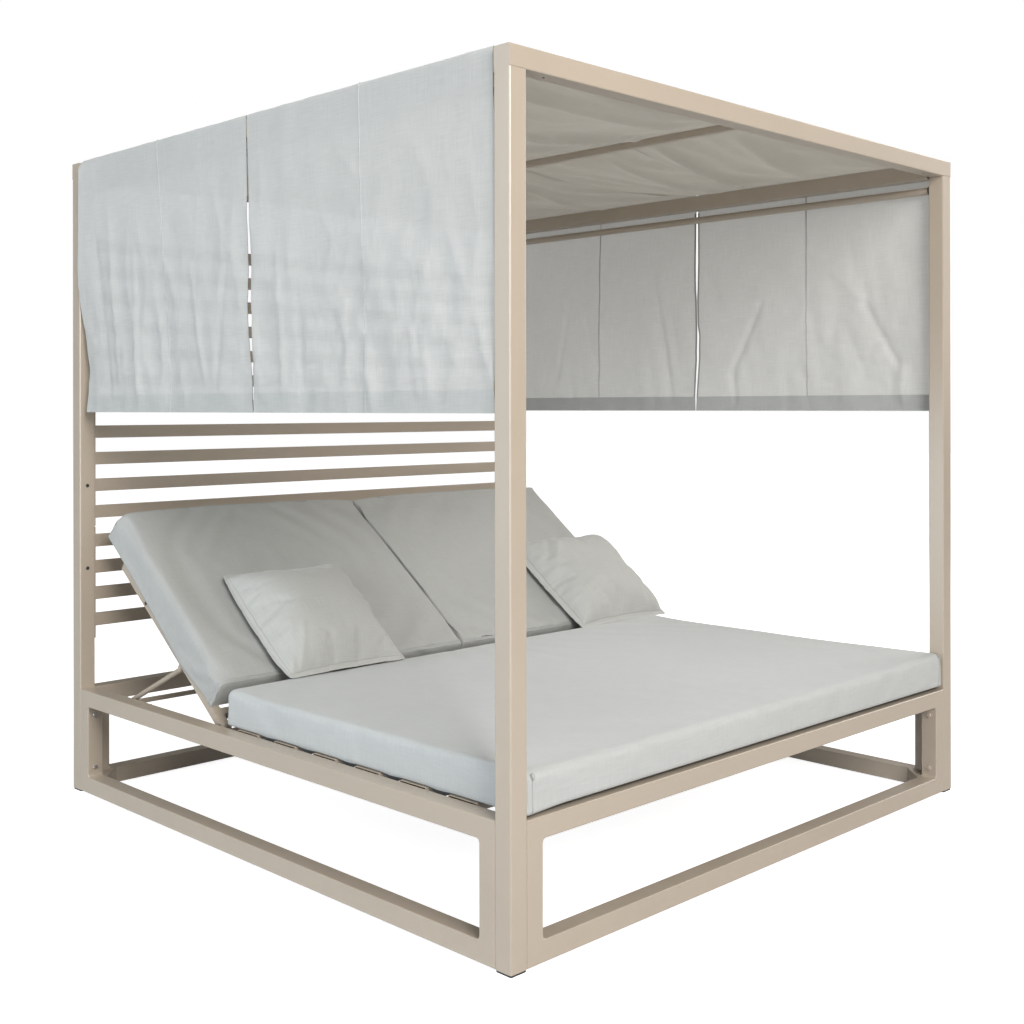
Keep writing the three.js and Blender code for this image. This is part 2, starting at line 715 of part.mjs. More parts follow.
// Box cushion: rounded edges, a crowned top and sides that pull in between the corners
function cushionGeometry(width, length, thickness, crown, steps) {
  const geometry = new THREE.BoxGeometry(2, 2, 2, steps.x, steps.y, steps.z);
  const place = geometry.attributes.position;
  const half = new THREE.Vector3(width, length, thickness).divideScalar(2);
  const point = new THREE.Vector3();
  const core = new THREE.Vector3();
  for (let i = 0; i < place.count; i += 1) {
    const u = edgeSpaced(place.getX(i), steps.x, cushionEdge / half.x);
    const v = edgeSpaced(place.getY(i), steps.y, cushionEdge / half.y);
    const w = edgeSpaced(place.getZ(i), steps.z, cushionEdge / half.z);
    point.set(u * half.x, v * half.y, w * half.z);
    core.copy(point);
    core.x = THREE.MathUtils.clamp(core.x, cushionEdge - half.x, half.x - cushionEdge);
    core.y = THREE.MathUtils.clamp(core.y, cushionEdge - half.y, half.y - cushionEdge);
    core.z = THREE.MathUtils.clamp(core.z, cushionEdge - half.z, half.z - cushionEdge);
    point.sub(core);
    if (point.length() > 0) {
      point.setLength(cushionEdge);
    }
    point.add(core);
    const midX = Math.cos((u * Math.PI) / 2);
    const midY = Math.cos((v * Math.PI) / 2);
    const side = 1 - w * w;
    point.x -= cushionDrawIn * u * midY * side;
    point.y -= cushionDrawIn * v * midX * side;
    if (w > 0) {
      point.z -= crown * crownLossShare(u, v) * w;
    }
    place.setXYZ(i, point.x, point.y, point.z);
  }
  geometry.computeVertexNormals();
  return geometry;
}

// Scatter pillow: two bulging faces that meet in a thin seam, with pulled-in sides and pointed corners
function pillowGeometry(steps) {
  const geometry = new THREE.BoxGeometry(2, 2, 2, steps.x, steps.y, steps.z);
  const place = geometry.attributes.position;
  const half = pillowSize / 2;
  const seam = pillowThickness * pillowBackShare;
  for (let i = 0; i < place.count; i += 1) {
    const u = Math.sin((place.getX(i) * Math.PI) / 2);
    const v = Math.sin((place.getY(i) * Math.PI) / 2);
    const w = place.getZ(i);
    const bulge = Math.pow((1 - u * u) * (1 - v * v), 0.42);
    const front = seam + pillowEdge / 2 + (pillowThickness - seam - pillowEdge / 2) * bulge;
    const back = (seam - pillowEdge / 2) * (1 - bulge);
    const x = u * (half - pillowDrawIn * Math.cos((v * Math.PI) / 2));
    const y = v * (half - pillowDrawIn * Math.cos((u * Math.PI) / 2));
    place.setXYZ(i, x, y, back + ((front - back) * (w + 1)) / 2);
  }
  geometry.computeVertexNormals();
  return geometry;
}

const mattressWidth = 2 * (innerX - mattressSideGap);
const mattressRear = hingeY - mattressHeadEnd;
const mattressFront = mattressFootInset - halfDepth;
const mattressGeometry = cushionGeometry(
  mattressWidth, mattressRear - mattressFront, mattressThickness, mattressCrown, { x: 12, y: 12, z: 4 }
);
const mattressZ = slatTopZ + fitGap + mattressThickness / 2;
add(group, "mattress", mattressGeometry, cushionFinish, 0, (mattressRear + mattressFront) / 2, mattressZ);

const pillowCentres = { left: leftPillowInset - outerRailX, right: outerRailX - rightPillowInset };
for (const [name, side] of [["left", -1], ["right", 1]]) {
  const backrest = new THREE.Group();
  backrest.position.set(0, hingeY, hingeZ);
  backrest.rotation.x = backAngle;
  group.add(backrest);
  add(backrest, `backrest_frame_${name}`, backrestFrameGeometry(side), frameFinish);

  const stay = new THREE.Group();
  stay.position.set(0, stayPivotPlace, -stayPivotDrop);
  stay.rotation.x = -stayAngle - backAngle;
  backrest.add(stay);
  add(stay, `prop_stay_${name}`, stayGeometry(side), frameFinish);

  const faceZ = railSize / 2 + fitGap;
  const width = outerRailX - cushionMiddleGap;
  const cushion = cushionGeometry(width, cushionLength, cushionThickness, cushionCrown, { x: 10, y: 8, z: 4 });
  const cushionX = side * (cushionMiddleGap + width / 2);
  const cushionY = cushionStart + cushionLength / 2;
  add(backrest, `back_cushion_${name}`, cushion, cushionFinish, cushionX, cushionY, faceZ + cushionThickness / 2);

  const pillow = pillowGeometry({ x: 10, y: 10, z: 2 });
  const pillowY = pillowStart + pillowSize / 2;
  const crownU = (pillowCentres[name] - cushionX) / (width / 2);
  const crownV = (pillowY - cushionY) / (cushionLength / 2);
  const pillowZ = faceZ + cushionThickness - cushionCrown * crownLossShare(crownU, crownV) + pillowGap;
  add(backrest, `scatter_pillow_${name}`, pillow, cushionFinish, pillowCentres[name], pillowY, pillowZ);
}

// Canopy cloth: stations along the middle of the cloth, from the left hem over the roof to the right hem

const clothHemBottom = topZ - curtainDrop;
const clothOff = fitGap + clothThickness / 2;
const bendX = sideBeamOuterX - tubeCorner;
const bendZ = seatZ - tubeCorner;
const bendRadius = tubeCorner + clothOff;

function halfStations() {
  const stations = [];
  const hemTop = clothHemBottom + clothHemHeight;
  stations.push({ x: bendX + bendRadius, z: clothHemBottom, nx: 1, nz: 0, hem: 1, roof: 0 });
  stations.push({ x: bendX + bendRadius, z: hemTop, nx: 1, nz: 0, hem: 1, roof: 0 });
  for (let i = 0; i < dropSteps; i += 1) {
    const z = hemTop + clothHemExtra + ((bendZ - hemTop - clothHemExtra) * i) / dropSteps;
    stations.push({ x: bendX + bendRadius, z, nx: 1, nz: 0, hem: 0, roof: 0 });
  }
  for (let i = 0; i <= cornerSteps; i += 1) {
    const angle = ((Math.PI / 2) * i) / cornerSteps;
    const nx = Math.cos(angle);
    const nz = Math.sin(angle);
    stations.push({ x: bendX + bendRadius * nx, z: bendZ + bendRadius * nz, nx, nz, hem: 0, roof: 0 });
  }
  const roofEdge = sideBeamX - tubeSize / 2;
  const barEdge = roofBarSize / 2;
  for (let i = 0; i <= roofSteps; i += 1) {
    const x = roofEdge + ((barEdge - roofEdge) * i) / roofSteps;
    stations.push({ x, z: bendZ + bendRadius, nx: 0, nz: 1, hem: 0, roof: Math.sin((Math.PI * i) / roofSteps) });
  }
  return stations;
}

function clothStations() {
  const right = halfStations();
  const left = right.map((station) => ({ ...station, x: -station.x, nx: -station.nx }));
  return [...left, ...right.reverse()];
}

// Sag of the roof and ripples of the curtains, both from the place along the bed
function canopyGeometry(startY, endY) {
  const stations = clothStations();
  const steps = stations.length - 1;
  const geometry = new THREE.BoxGeometry(1, 1, 1, steps, clothCrossSteps, 1);
  const place = geometry.attributes.position;
  for (let i = 0; i < place.count; i += 1) {
    const station = stations[Math.round((place.getX(i) + 0.5) * steps)];
    const across = place.getY(i) + 0.5;
    const y = startY + (endY - startY) * across;
    const half = (clothThickness + clothHemExtra * station.hem) / 2;
    const wave = Math.sin((2 * Math.PI * y) / curtainRippleWidth + Math.sign(station.x));
    const hang = station.nz > 0 ? 0 : Math.min(1, (rodZ - rodRadius - station.z) / (rodZ - clothHemBottom));
    const ripple = hang > 0 ? curtainRipple * hang * wave : 0;
    const lift = 1 + roofRippleShare * Math.cos((3 * Math.PI * across) + Math.sign(station.x));
    const sag = roofSag * station.roof * lift * Math.sin(Math.PI * Math.min(1, 0.15 + 0.7 * across));
    const offset = half * Math.sign(place.getZ(i)) + ripple;
    place.setXYZ(i, station.x + station.nx * offset, y, station.z + station.nz * offset - sag);
  }
  geometry.computeVertexNormals();
  return geometry;
}

const clothEndY = innerY - clothEndGap;
add(group, "canopy_front", canopyGeometry(-clothEndY, -clothSlit / 2), clothFinish);
add(group, "canopy_rear", canopyGeometry(clothSlit / 2, clothEndY), clothFinish);

export default group;
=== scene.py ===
# %% [markdown]
# # An outdoor daybed with a canopy
#
# The bed is a box of square aluminium tube. Two cushioned backrests recline in it, and two lengths
# of thin cloth hang over the bars above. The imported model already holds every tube, slat and hinge
# at its real size, so this lesson leaves those where they are, paints them, and then makes the
# things that a solid can't show well: covers that wrinkle, cloth that sags, seams and stitches.

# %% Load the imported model
import json
import math

import bpy
import numpy as np
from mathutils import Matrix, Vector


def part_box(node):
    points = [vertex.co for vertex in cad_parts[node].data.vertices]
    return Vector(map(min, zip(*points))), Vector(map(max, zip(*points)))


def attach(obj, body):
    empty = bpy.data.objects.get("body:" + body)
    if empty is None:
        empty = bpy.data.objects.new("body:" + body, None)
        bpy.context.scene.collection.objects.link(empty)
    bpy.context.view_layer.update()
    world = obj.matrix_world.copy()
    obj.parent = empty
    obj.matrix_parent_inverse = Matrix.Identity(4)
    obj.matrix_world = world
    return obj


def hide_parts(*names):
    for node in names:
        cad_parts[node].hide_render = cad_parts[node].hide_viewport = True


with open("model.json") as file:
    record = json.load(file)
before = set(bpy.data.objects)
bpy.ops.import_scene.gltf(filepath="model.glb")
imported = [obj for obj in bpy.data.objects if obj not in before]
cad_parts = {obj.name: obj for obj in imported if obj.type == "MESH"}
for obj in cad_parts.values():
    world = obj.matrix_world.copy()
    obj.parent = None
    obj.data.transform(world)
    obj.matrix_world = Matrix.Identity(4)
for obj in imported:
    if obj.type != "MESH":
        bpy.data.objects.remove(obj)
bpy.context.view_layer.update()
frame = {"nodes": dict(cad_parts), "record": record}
nodes = frame["nodes"]
scene = bpy.context.scene

# %% [markdown]
# ## The camera
#
# A camera that matches a photograph can be found from straight edges of known size. The near corner
# of the bed, the lines that run away from it and the width of its posts give the place, the turn
# and the focal length. The camera is level, and a small lens shift puts the horizon where it
# belongs, because a level camera keeps the posts upright in the picture.

# %% Camera at the photograph's angle
PICTURE_PIXELS = 1024
SENSOR_MM = 36.0
FOCAL_PIXELS = 1320.28
HORIZON_ROW = 407.45
CAMERA_PLACE = (-2.9758, -3.0079, 1.2225)
CAMERA_TURN = 0.7812
CAMERA_ROLL = -0.0014

camera = bpy.data.cameras.new("camera")
camera.sensor_width = SENSOR_MM
camera.lens = FOCAL_PIXELS * SENSOR_MM / PICTURE_PIXELS
camera.shift_y = (HORIZON_ROW - PICTURE_PIXELS / 2) / PICTURE_PIXELS
camera_object = bpy.data.objects.new("camera", camera)
camera_object.location = CAMERA_PLACE
camera_object.rotation_euler = (math.pi / 2, -CAMERA_ROLL, -CAMERA_TURN)
scene.collection.objects.link(camera_object)
scene.camera = camera_object
print("lens", round(camera.lens, 2), "mm, shift", round(camera.shift_y, 4))

# %% [markdown]
# ## The studio
#
# The bed stands on a plain pale floor that runs far past the picture. The light is soft: a pale sky
# all round, a large cool panel on the left that makes the left faces of the tubes bright, a warm one
# high in front, and weaker ones above and on the right.

# %% Floor, sky and soft lights
FLOOR_SIZE = 60.0
FLOOR_GREY = 0.55
FLOOR_GLOW = 0.88
FLOOR_ROUGHNESS = 0.9
FADE_NEAR = 0.9
FADE_FAR = 2.4
SKY_COLOUR = (1.0, 0.94, 0.855)
SKY_STRENGTH = 0.175
BACKGROUND_STRENGTH = 1.0


def studio_floor(name, grey, glow, roughness, near, far):
    """A pale floor that fades to the background's white between two distances from the bed.

    The fade is a glow that only the camera sees, so it lights nothing.
    """
    material = bpy.data.materials.new(name)
    material.use_nodes = True
    tree = material.node_tree
    shader = tree.nodes["Principled BSDF"]
    shader.inputs["Base Color"].default_value = (grey, grey, grey, 1)
    shader.inputs["Roughness"].default_value = roughness
    shader.inputs["Emission Color"].default_value = (1, 1, 1, 1)
    place = tree.nodes.new("ShaderNodeTexCoord").outputs["Object"]
    reach = tree.nodes.new("ShaderNodeVectorMath")
    reach.operation = "LENGTH"
    fade = tree.nodes.new("ShaderNodeMapRange")
    fade.interpolation_type = "SMOOTHSTEP"
    fade.inputs["From Min"].default_value = near
    fade.inputs["From Max"].default_value = far
    fade.inputs["To Min"].default_value = glow
    seen = tree.nodes.new("ShaderNodeMath")
    seen.operation = "MULTIPLY"
    tree.links.new(place, reach.inputs[0])
    tree.links.new(reach.outputs["Value"], fade.inputs["Value"])
    tree.links.new(fade.outputs["Result"], seen.inputs[0])
    tree.links.new(tree.nodes.new("ShaderNodeLightPath").outputs["Is Camera Ray"], seen.inputs[1])
    tree.links.new(seen.outputs[0], shader.inputs["Emission Strength"])
    return material


half_floor = FLOOR_SIZE / 2
floor_mesh = bpy.data.meshes.new("floor")
floor_mesh.from_pydata(
    [(x * half_floor, y * half_floor, 0) for x, y in ((-1, -1), (1, -1), (1, 1), (-1, 1))],
    [],
    [(0, 1, 2, 3)],
)
floor = bpy.data.objects.new("floor", floor_mesh)
floor_finish = studio_floor("floor", FLOOR_GREY, FLOOR_GLOW, FLOOR_ROUGHNESS, FADE_NEAR, FADE_FAR)
floor_mesh.materials.append(floor_finish)
scene.collection.objects.link(floor)

world = bpy.data.worlds.new("sky")
world.use_nodes = True
sky_tree = world.node_tree
sky_light = sky_tree.nodes["Background"]
sky_light.inputs["Color"].default_value = (*SKY_COLOUR, 1)
sky_light.inputs["Strength"].default_value = SKY_STRENGTH
sky_seen = sky_tree.nodes.new("ShaderNodeBackground")
sky_seen.inputs["Color"].default_value = (1, 1, 1, 1)
sky_seen.inputs["Strength"].default_value = BACKGROUND_STRENGTH
sky_mix = sky_tree.nodes.new("ShaderNodeMixShader")
sky_tree.links.new(sky_tree.nodes.new("ShaderNodeLightPath").outputs["Is Camera Ray"], sky_mix.inputs[0])
sky_tree.links.new(sky_light.outputs[0], sky_mix.inputs[1])
sky_tree.links.new(sky_seen.outputs[0], sky_mix.inputs[2])
sky_tree.links.new(sky_mix.outputs[0], sky_tree.nodes["World Output"].inputs["Surface"])
scene.world = world
scene.view_settings.view_transform = "Standard"


def soft_light(name, place, aim, size, power, colour):
    """A square area light at a place, turned to face the aim point."""
    light = bpy.data.lights.new(name, "AREA")
    light.size = size
    light.energy = power
    light.color = colour
    lamp = bpy.data.objects.new(name, light)
    lamp.location = place
    ahead = np.subtract(aim, place)
    flat = math.hypot(ahead[0], ahead[1])
    lamp.rotation_euler = (math.atan2(flat, -ahead[2]), 0, math.atan2(ahead[1], ahead[0]) - math.pi / 2)
    scene.collection.objects.link(lamp)
    print(name, "at", place, "with", power, "W")


soft_light("left_panel", (-6.4, 0.9, 1.8), (0, 0, 0.7), 4.6, 308, (0.83, 0.92, 1.0))
soft_light("front_panel", (-2.4, -6.0, 4.0), (0, 0, 0.7), 3.4, 500, (1.0, 0.985, 0.965))
soft_light("right_panel", (6.0, -0.6, 3.2), (0, 0, 0.5), 4.0, 205, (1.0, 0.98, 0.96))
soft_light("top_panel", (-1.0, -1.5, 6.0), (0, 0, 0.5), 5.0, 65, (1.0, 0.98, 0.94))

# %% [markdown]
# ## Finishes
#
# Every finish here is made of nodes, so it holds at any size. An effect that several finishes share
# is a node group with named inputs: fine grain for paint and plastic, and a plain weave for the
# fabrics. A group only puts out masks, heights and colours, and the shader stays in the material.

# %% Helpers for shader nodes


def new_group(name, inputs, outputs):
    """An empty shader node group with float or colour sockets, and its input and output nodes."""
    group = bpy.data.node_groups.new(name, "ShaderNodeTree")
    for label, kind, value in inputs:
        socket = group.interface.new_socket(label, in_out="INPUT", socket_type=f"NodeSocket{kind}")
        if value is not None:
            socket.default_value = value
    for label, kind in outputs:
        group.interface.new_socket(label, in_out="OUTPUT", socket_type=f"NodeSocket{kind}")
    return group, group.nodes.new("NodeGroupInput"), group.nodes.new("NodeGroupOutput")


def wire(tree, *pairs):
    """Link each (output socket, input socket) pair."""
    for source, target in pairs:
        tree.links.new(source, target)


def math_node(tree, operation, *values):
    """A Math node. Each value is a number or a socket."""
    node = tree.nodes.new("ShaderNodeMath")
    node.operation = operation
    for slot, value in enumerate(values):
        if isinstance(value, (int, float)):
            node.inputs[slot].default_value = value
        else:
            tree.links.new(value, node.inputs[slot])
    return node.outputs[0]


def noise_node(tree, vector, scale, detail=3.0, roughness=0.5):
    """A Noise texture's factor at a vector. The scale is a number or a socket."""
    node = tree.nodes.new("ShaderNodeTexNoise")
    node.inputs["Detail"].default_value = detail
    node.inputs["Roughness"].default_value = roughness
    tree.links.new(vector, node.inputs["Vector"])
    if isinstance(scale, (int, float)):
        node.inputs["Scale"].default_value = scale
    else:
        tree.links.new(scale, node.inputs["Scale"])
    return node.outputs["Fac"]


def ramp(tree, value, low, high, out_low=0.0, out_high=1.0):
    """Maps a value from low..high to out_low..out_high, held at both ends."""
    node = tree.nodes.new("ShaderNodeMapRange")
    tree.links.new(value, node.inputs["Value"])
    for label, number in (("From Min", low), ("From Max", high), ("To Min", out_low), ("To Max", out_high)):
        if isinstance(number, (int, float)):
            node.inputs[label].default_value = number
        else:
            tree.links.new(number, node.inputs[label])
    return node.outputs["Result"]


def mix_colour(tree, share, first, second):
    """A Mix node for colours. The share and both colours are values or sockets."""
    node = tree.nodes.new("ShaderNodeMix")
    node.data_type = "RGBA"
    for slot, value in ((0, share), (6, first), (7, second)):
        if isinstance(value, bpy.types.NodeSocket):
            tree.links.new(value, node.inputs[slot])
        else:
            node.inputs[slot].default_value = value if isinstance(value, (int, float)) else (*value, 1)
    return node.outputs[2]


# %% Group: the fine grain of powder paint and moulded plastic


def make_grain_group():
    """Height and tone of a sprayed or moulded skin: small grain on top of slow unevenness."""
    group, entry, leave = new_group(
        "fine_grain",
        [("Vector", "Vector", None), ("Grain per metre", "Float", 900.0), ("Cloud per metre", "Float", 5.0)],
        [("Height", "Float"), ("Tone", "Float")],
    )
    grain = noise_node(group, entry.outputs["Vector"], entry.outputs["Grain per metre"], 2.0)
    cloud = noise_node(group, entry.outputs["Vector"], entry.outputs["Cloud per metre"], 4.0, 0.6)
    height = math_node(group, "MULTIPLY_ADD", cloud, 0.6, grain)
    wire(group, (height, leave.inputs["Height"]), (ramp(group, cloud, 0.3, 0.7), leave.inputs["Tone"]))
    return group


grain_group = make_grain_group()
print("grain group with", len(grain_group.nodes), "nodes")

# %% Group: dust that settles low down and on faces that look up


def make_dust_group():
    """A mask that grows on faces that look up and towards the ground, broken up by noise."""
    group, entry, leave = new_group(
        "settled_dust",
        [("Vector", "Vector", None), ("Amount", "Float", 0.5)],
        [("Mask", "Float")],
    )
    geometry = group.nodes.new("ShaderNodeNewGeometry")
    facing = group.nodes.new("ShaderNodeSeparateXYZ")
    place = group.nodes.new("ShaderNodeSeparateXYZ")
    wire(group, (geometry.outputs["Normal"], facing.inputs[0]), (entry.outputs["Vector"], place.inputs[0]))
    up = ramp(group, facing.outputs["Z"], 0.2, 1.0)
    low = ramp(group, place.outputs["Z"], 0.0, 0.16, 0.7, 0.0)
    patch = ramp(group, noise_node(group, entry.outputs["Vector"], 26.0, 5.0, 0.65), 0.35, 0.75)
    both = math_node(group, "MAXIMUM", up, low)
    mask = math_node(group, "MULTIPLY", math_node(group, "MULTIPLY", both, patch), entry.outputs["Amount"])
    wire(group, (mask, leave.inputs["Mask"]))
    return group


dust_group = make_dust_group()

# %% Group: a plain weave that follows a piece's own flat pattern


def make_weave_group():
    """A plain weave: one set of threads along U and one along V, each over and under the other.

    Along either thread the height is |sin|, and the sign of sin(u) * sin(v) says which set is on
    top. Long thin noise along each thread gives slubs, where the yarn is thicker or paler.
    """
    group, entry, leave = new_group(
        "plain_weave",
        [("UV", "Vector", None), ("Thread pitch", "Float", 0.0016), ("Slub", "Float", 0.5)],
        [("Height", "Float"), ("Tone", "Float")],
    )
    parts = group.nodes.new("ShaderNodeSeparateXYZ")
    wire(group, (entry.outputs["UV"], parts.inputs[0]))
    turn = math_node(group, "DIVIDE", math.pi, entry.outputs["Thread pitch"])
    across = math_node(group, "SINE", math_node(group, "MULTIPLY", parts.outputs["X"], turn))
    along = math_node(group, "SINE", math_node(group, "MULTIPLY", parts.outputs["Y"], turn))
    crossing = math_node(group, "MULTIPLY", across, along)
    threads = math_node(group, "ADD", *(math_node(group, "ABSOLUTE", wave) for wave in (across, along)))
    height = math_node(group, "MULTIPLY_ADD", crossing, 0.35, math_node(group, "MULTIPLY", threads, 0.5))
    slubs = []
    for stretch in ((14.0, 420.0, 1.0), (420.0, 14.0, 1.0)):
        mapping = group.nodes.new("ShaderNodeMapping")
        mapping.inputs["Scale"].default_value = stretch
        wire(group, (entry.outputs["UV"], mapping.inputs["Vector"]))
        slubs.append(noise_node(group, mapping.outputs["Vector"], 1.0, 3.0, 0.6))
    slub = ramp(group, math_node(group, "ADD", slubs[0], slubs[1]), 0.75, 1.25, -1.0, 1.0)
    tone = math_node(group, "MULTIPLY_ADD", slub, entry.outputs["Slub"], height)
    wire(group, (height, leave.inputs["Height"]), (tone, leave.inputs["Tone"]))
    return group


weave_group = make_weave_group()
print("weave group with", len(weave_group.nodes), "nodes")

# %% Materials of the rigid pieces


def group_node(tree, group, **values):
    """Places a node group and sets its inputs. Underscores in a name stand for spaces."""
    node = tree.nodes.new("ShaderNodeGroup")
    node.node_tree = group
    for label, value in values.items():
        node.inputs[label.replace("_", " ")].default_value = value
    return node


def start_material(name, roughness, metallic=0.0, **sockets):
    """A new material, its tree, its shader and Object coordinates."""
    material = bpy.data.materials.new(name)
    material.use_nodes = True
    tree = material.node_tree
    shader = tree.nodes["Principled BSDF"]
    shader.inputs["Roughness"].default_value = roughness
    shader.inputs["Metallic"].default_value = metallic
    for label, value in sockets.items():
        shader.inputs[label.replace("_", " ")].default_value = value
    place = tree.nodes.new("ShaderNodeTexCoord").outputs["Object"]
    return material, tree, shader, place


def tinted(colour, *shares):
    """A colour with its channels times their shares. A single share serves all three."""
    return tuple(c * share for c, share in zip(colour, shares if len(shares) == 3 else shares * 3))


def bump(tree, shader, height, distance, strength):
    """Feeds a height in shares of a distance to the shader's normal."""
    node = tree.nodes.new("ShaderNodeBump")
    node.inputs["Distance"].default_value = distance
    node.inputs["Strength"].default_value = strength
    wire(tree, (height, node.inputs["Height"]), (node.outputs["Normal"], shader.inputs["Normal"]))


def painted_metal(name, colour, dusty, roughness=0.42):
    """Powder paint: a fine pebbled skin, slow changes of tone, and a little dust."""
    coat = {"Coat_Weight": 0.7, "Coat_Roughness": 0.3, "Coat_IOR": 1.9}
    material, tree, shader, place = start_material(name, roughness, **coat)
    grain = group_node(tree, grain_group, Grain_per_metre=1100.0, Cloud_per_metre=3.5)
    dust = group_node(tree, dust_group, Amount=0.35)
    wire(tree, (place, grain.inputs["Vector"]), (place, dust.inputs["Vector"]))
    paint = mix_colour(tree, grain.outputs["Tone"], tinted(colour, 0.955), colour)
    wire(tree, (mix_colour(tree, dust.outputs["Mask"], paint, dusty), shader.inputs["Base Color"]))
    rough = ramp(tree, grain.outputs["Tone"], 0.0, 1.0, roughness - 0.05, roughness + 0.06)
    wire(tree, (rough, shader.inputs["Roughness"]))
    bump(tree, shader, grain.outputs["Height"], 0.00012, 0.5)
    return material


def moulded_plastic(name, colour, roughness):
    """Black glass-filled nylon: matt, with a faint moulded texture."""
    material, tree, shader, place = start_material(name, roughness)
    grain = group_node(tree, grain_group, Grain_per_metre=700.0, Cloud_per_metre=18.0)
    wire(tree, (place, grain.inputs["Vector"]))
    paler = tuple(min(1.0, c * 1.7 + 0.01) for c in colour)
    wire(tree, (mix_colour(tree, grain.outputs["Tone"], colour, paler), shader.inputs["Base Color"]))
    bump(tree, shader, grain.outputs["Height"], 0.0002, 0.6)
    return material


def turned_steel(name, colour, roughness):
    """A turned steel pin: fine rings round its length along X, and a slow change of tone."""
    material, tree, shader, place = start_material(name, roughness, 1.0)
    mapping = tree.nodes.new("ShaderNodeMapping")
    mapping.inputs["Scale"].default_value = (2400.0, 30.0, 30.0)
    wire(tree, (place, mapping.inputs["Vector"]))
    rings = noise_node(tree, mapping.outputs["Vector"], 1.0, 2.0)
    wire(tree, (mix_colour(tree, rings, tinted(colour, 0.8), colour), shader.inputs["Base Color"]))
    bump(tree, shader, rings, 0.0001, 0.5)
    return material


PAINT_COLOUR = (0.425, 0.357, 0.283)
DUST_COLOUR = (0.52, 0.455, 0.38)
paint = painted_metal("frame_paint", PAINT_COLOUR, DUST_COLOUR)
nylon = moulded_plastic("black_plastic", (0.016, 0.015, 0.015), 0.55)
steel = turned_steel("pin_steel", (0.46, 0.45, 0.43), 0.32)
print("finishes:", [m.name for m in (paint, nylon, steel)])

# %% Paint each rigid node with its finish
FINISHES = {"frame_paint": paint, "black_plastic": nylon, "pin_steel": steel}
soft_names = []
for entry in frame["record"]["subparts"]:
    part = nodes[entry["node"]]
    finish = FINISHES.get(entry["material_slot"])
    if finish is None:
        soft_names.append(part.name)
        continue
    part.data.materials.clear()
    part.data.materials.append(finish)
print(len(nodes) - len(soft_names), "rigid nodes painted; soft nodes:", soft_names)

# %% [markdown]
# Black socket screws hold the head panel to the rear posts, one bolt sits in the side of each
# backrest, and bright screws hold the base frames. Their heads belong to the same solid as the tube,
# so the faces that stand out of the tube's flat side get a finish of their own. The heads in the foot
# and head base frames keep the paint.

# %% Screw heads
REAR_POST_FACE = 0.95
BACKREST_SIDE = 0.930
WINDOW_SIDE = 0.90
BASE_SCREW_HEIGHTS = (0.083, 0.249)
SCREW_REACH = 0.009
HEAD_HALF = 0.0022
OUT_OF_FACE = 0.0001
oxide = moulded_plastic("black_screw", (0.020, 0.019, 0.018), 0.38)
zinc = turned_steel("zinc_screw", (0.66, 0.63, 0.58), 0.38)


def finish_heads(name, finish, stands_out):
    """Gives the faces of a node whose middles fulfil stands_out(middles) a finish of their own."""
    mesh = nodes[name].data
    middles = np.empty(len(mesh.polygons) * 3, np.float32)
    mesh.polygons.foreach_get("center", middles)
    chosen = stands_out(middles.reshape(-1, 3))
    mesh.materials.append(finish)
    mesh.polygons.foreach_set("material_index", chosen.astype(np.int32))
    print(name, int(chosen.sum()), "faces with", finish.name)


def on_base_screw(middles):
    """True in the window of a side base frame, beside an upright, at the height of one of the screws."""
    beside = np.abs(np.abs(middles[:, 1]) - WINDOW_SIDE + HEAD_HALF) < HEAD_HALF
    level = np.min([np.abs(middles[:, 2] - height) for height in BASE_SCREW_HEIGHTS], axis=0)
    return beside & (level < SCREW_REACH)


for side in ("left", "right"):
    finish_heads(f"post_rear_{side}", oxide, lambda at: at[:, 1] < REAR_POST_FACE - OUT_OF_FACE)
    finish_heads(f"backrest_frame_{side}", oxide, lambda at: np.abs(at[:, 0]) > BACKREST_SIDE + OUT_OF_FACE)
    finish_heads(f"base_frame_{side}", zinc, on_base_screw)

# %% [markdown]
# ## Fabrics
#
# The cushions wear a heathered outdoor weave and the canopy a thinner, more open one. Both follow
# the cloth, so each piece carries its own flat pattern in metres: a UV map in which one unit is one
# metre. Cloth this open lets some of what is behind it show, which a little transparency gives. The
# dark line of a sewn seam is drawn where the pattern says that the seam runs.

# %% Group: a sewn seam along one line of the flat pattern


def make_seam_group():
    """A mask that is 1 on a line of a given width where a coordinate has a given value."""
    group, entry, leave = new_group(
        "sewn_seam",
        [("Across", "Float", 0.0), ("Place", "Float", 0.0), ("Width", "Float", 0.004)],
        [("Mask", "Float")],
    )
    offset = math_node(group, "SUBTRACT", entry.outputs["Across"], entry.outputs["Place"])
    away = math_node(group, "ABSOLUTE", offset)
    core = math_node(group, "MULTIPLY", entry.outputs["Width"], 0.3)
    mask = ramp(group, away, core, entry.outputs["Width"], 1.0, 0.0)
    wire(group, (mask, leave.inputs["Mask"]))
    return group


seam_group = make_seam_group()

# %% Materials of the soft pieces


# The roof's tint is painted shade: it makes the roof's cloth darker and browner, as in the warm shade under it.
ROOF_SHADE_TINT = (0.86, 0.80, 0.72)
# Where the roof's own alpha sets in by height, and its painted shade tint by the distance from the middle plane
ROOF_HEIGHTS = (1.90, 1.97)
ROOF_SIDES = (0.975, 0.950)


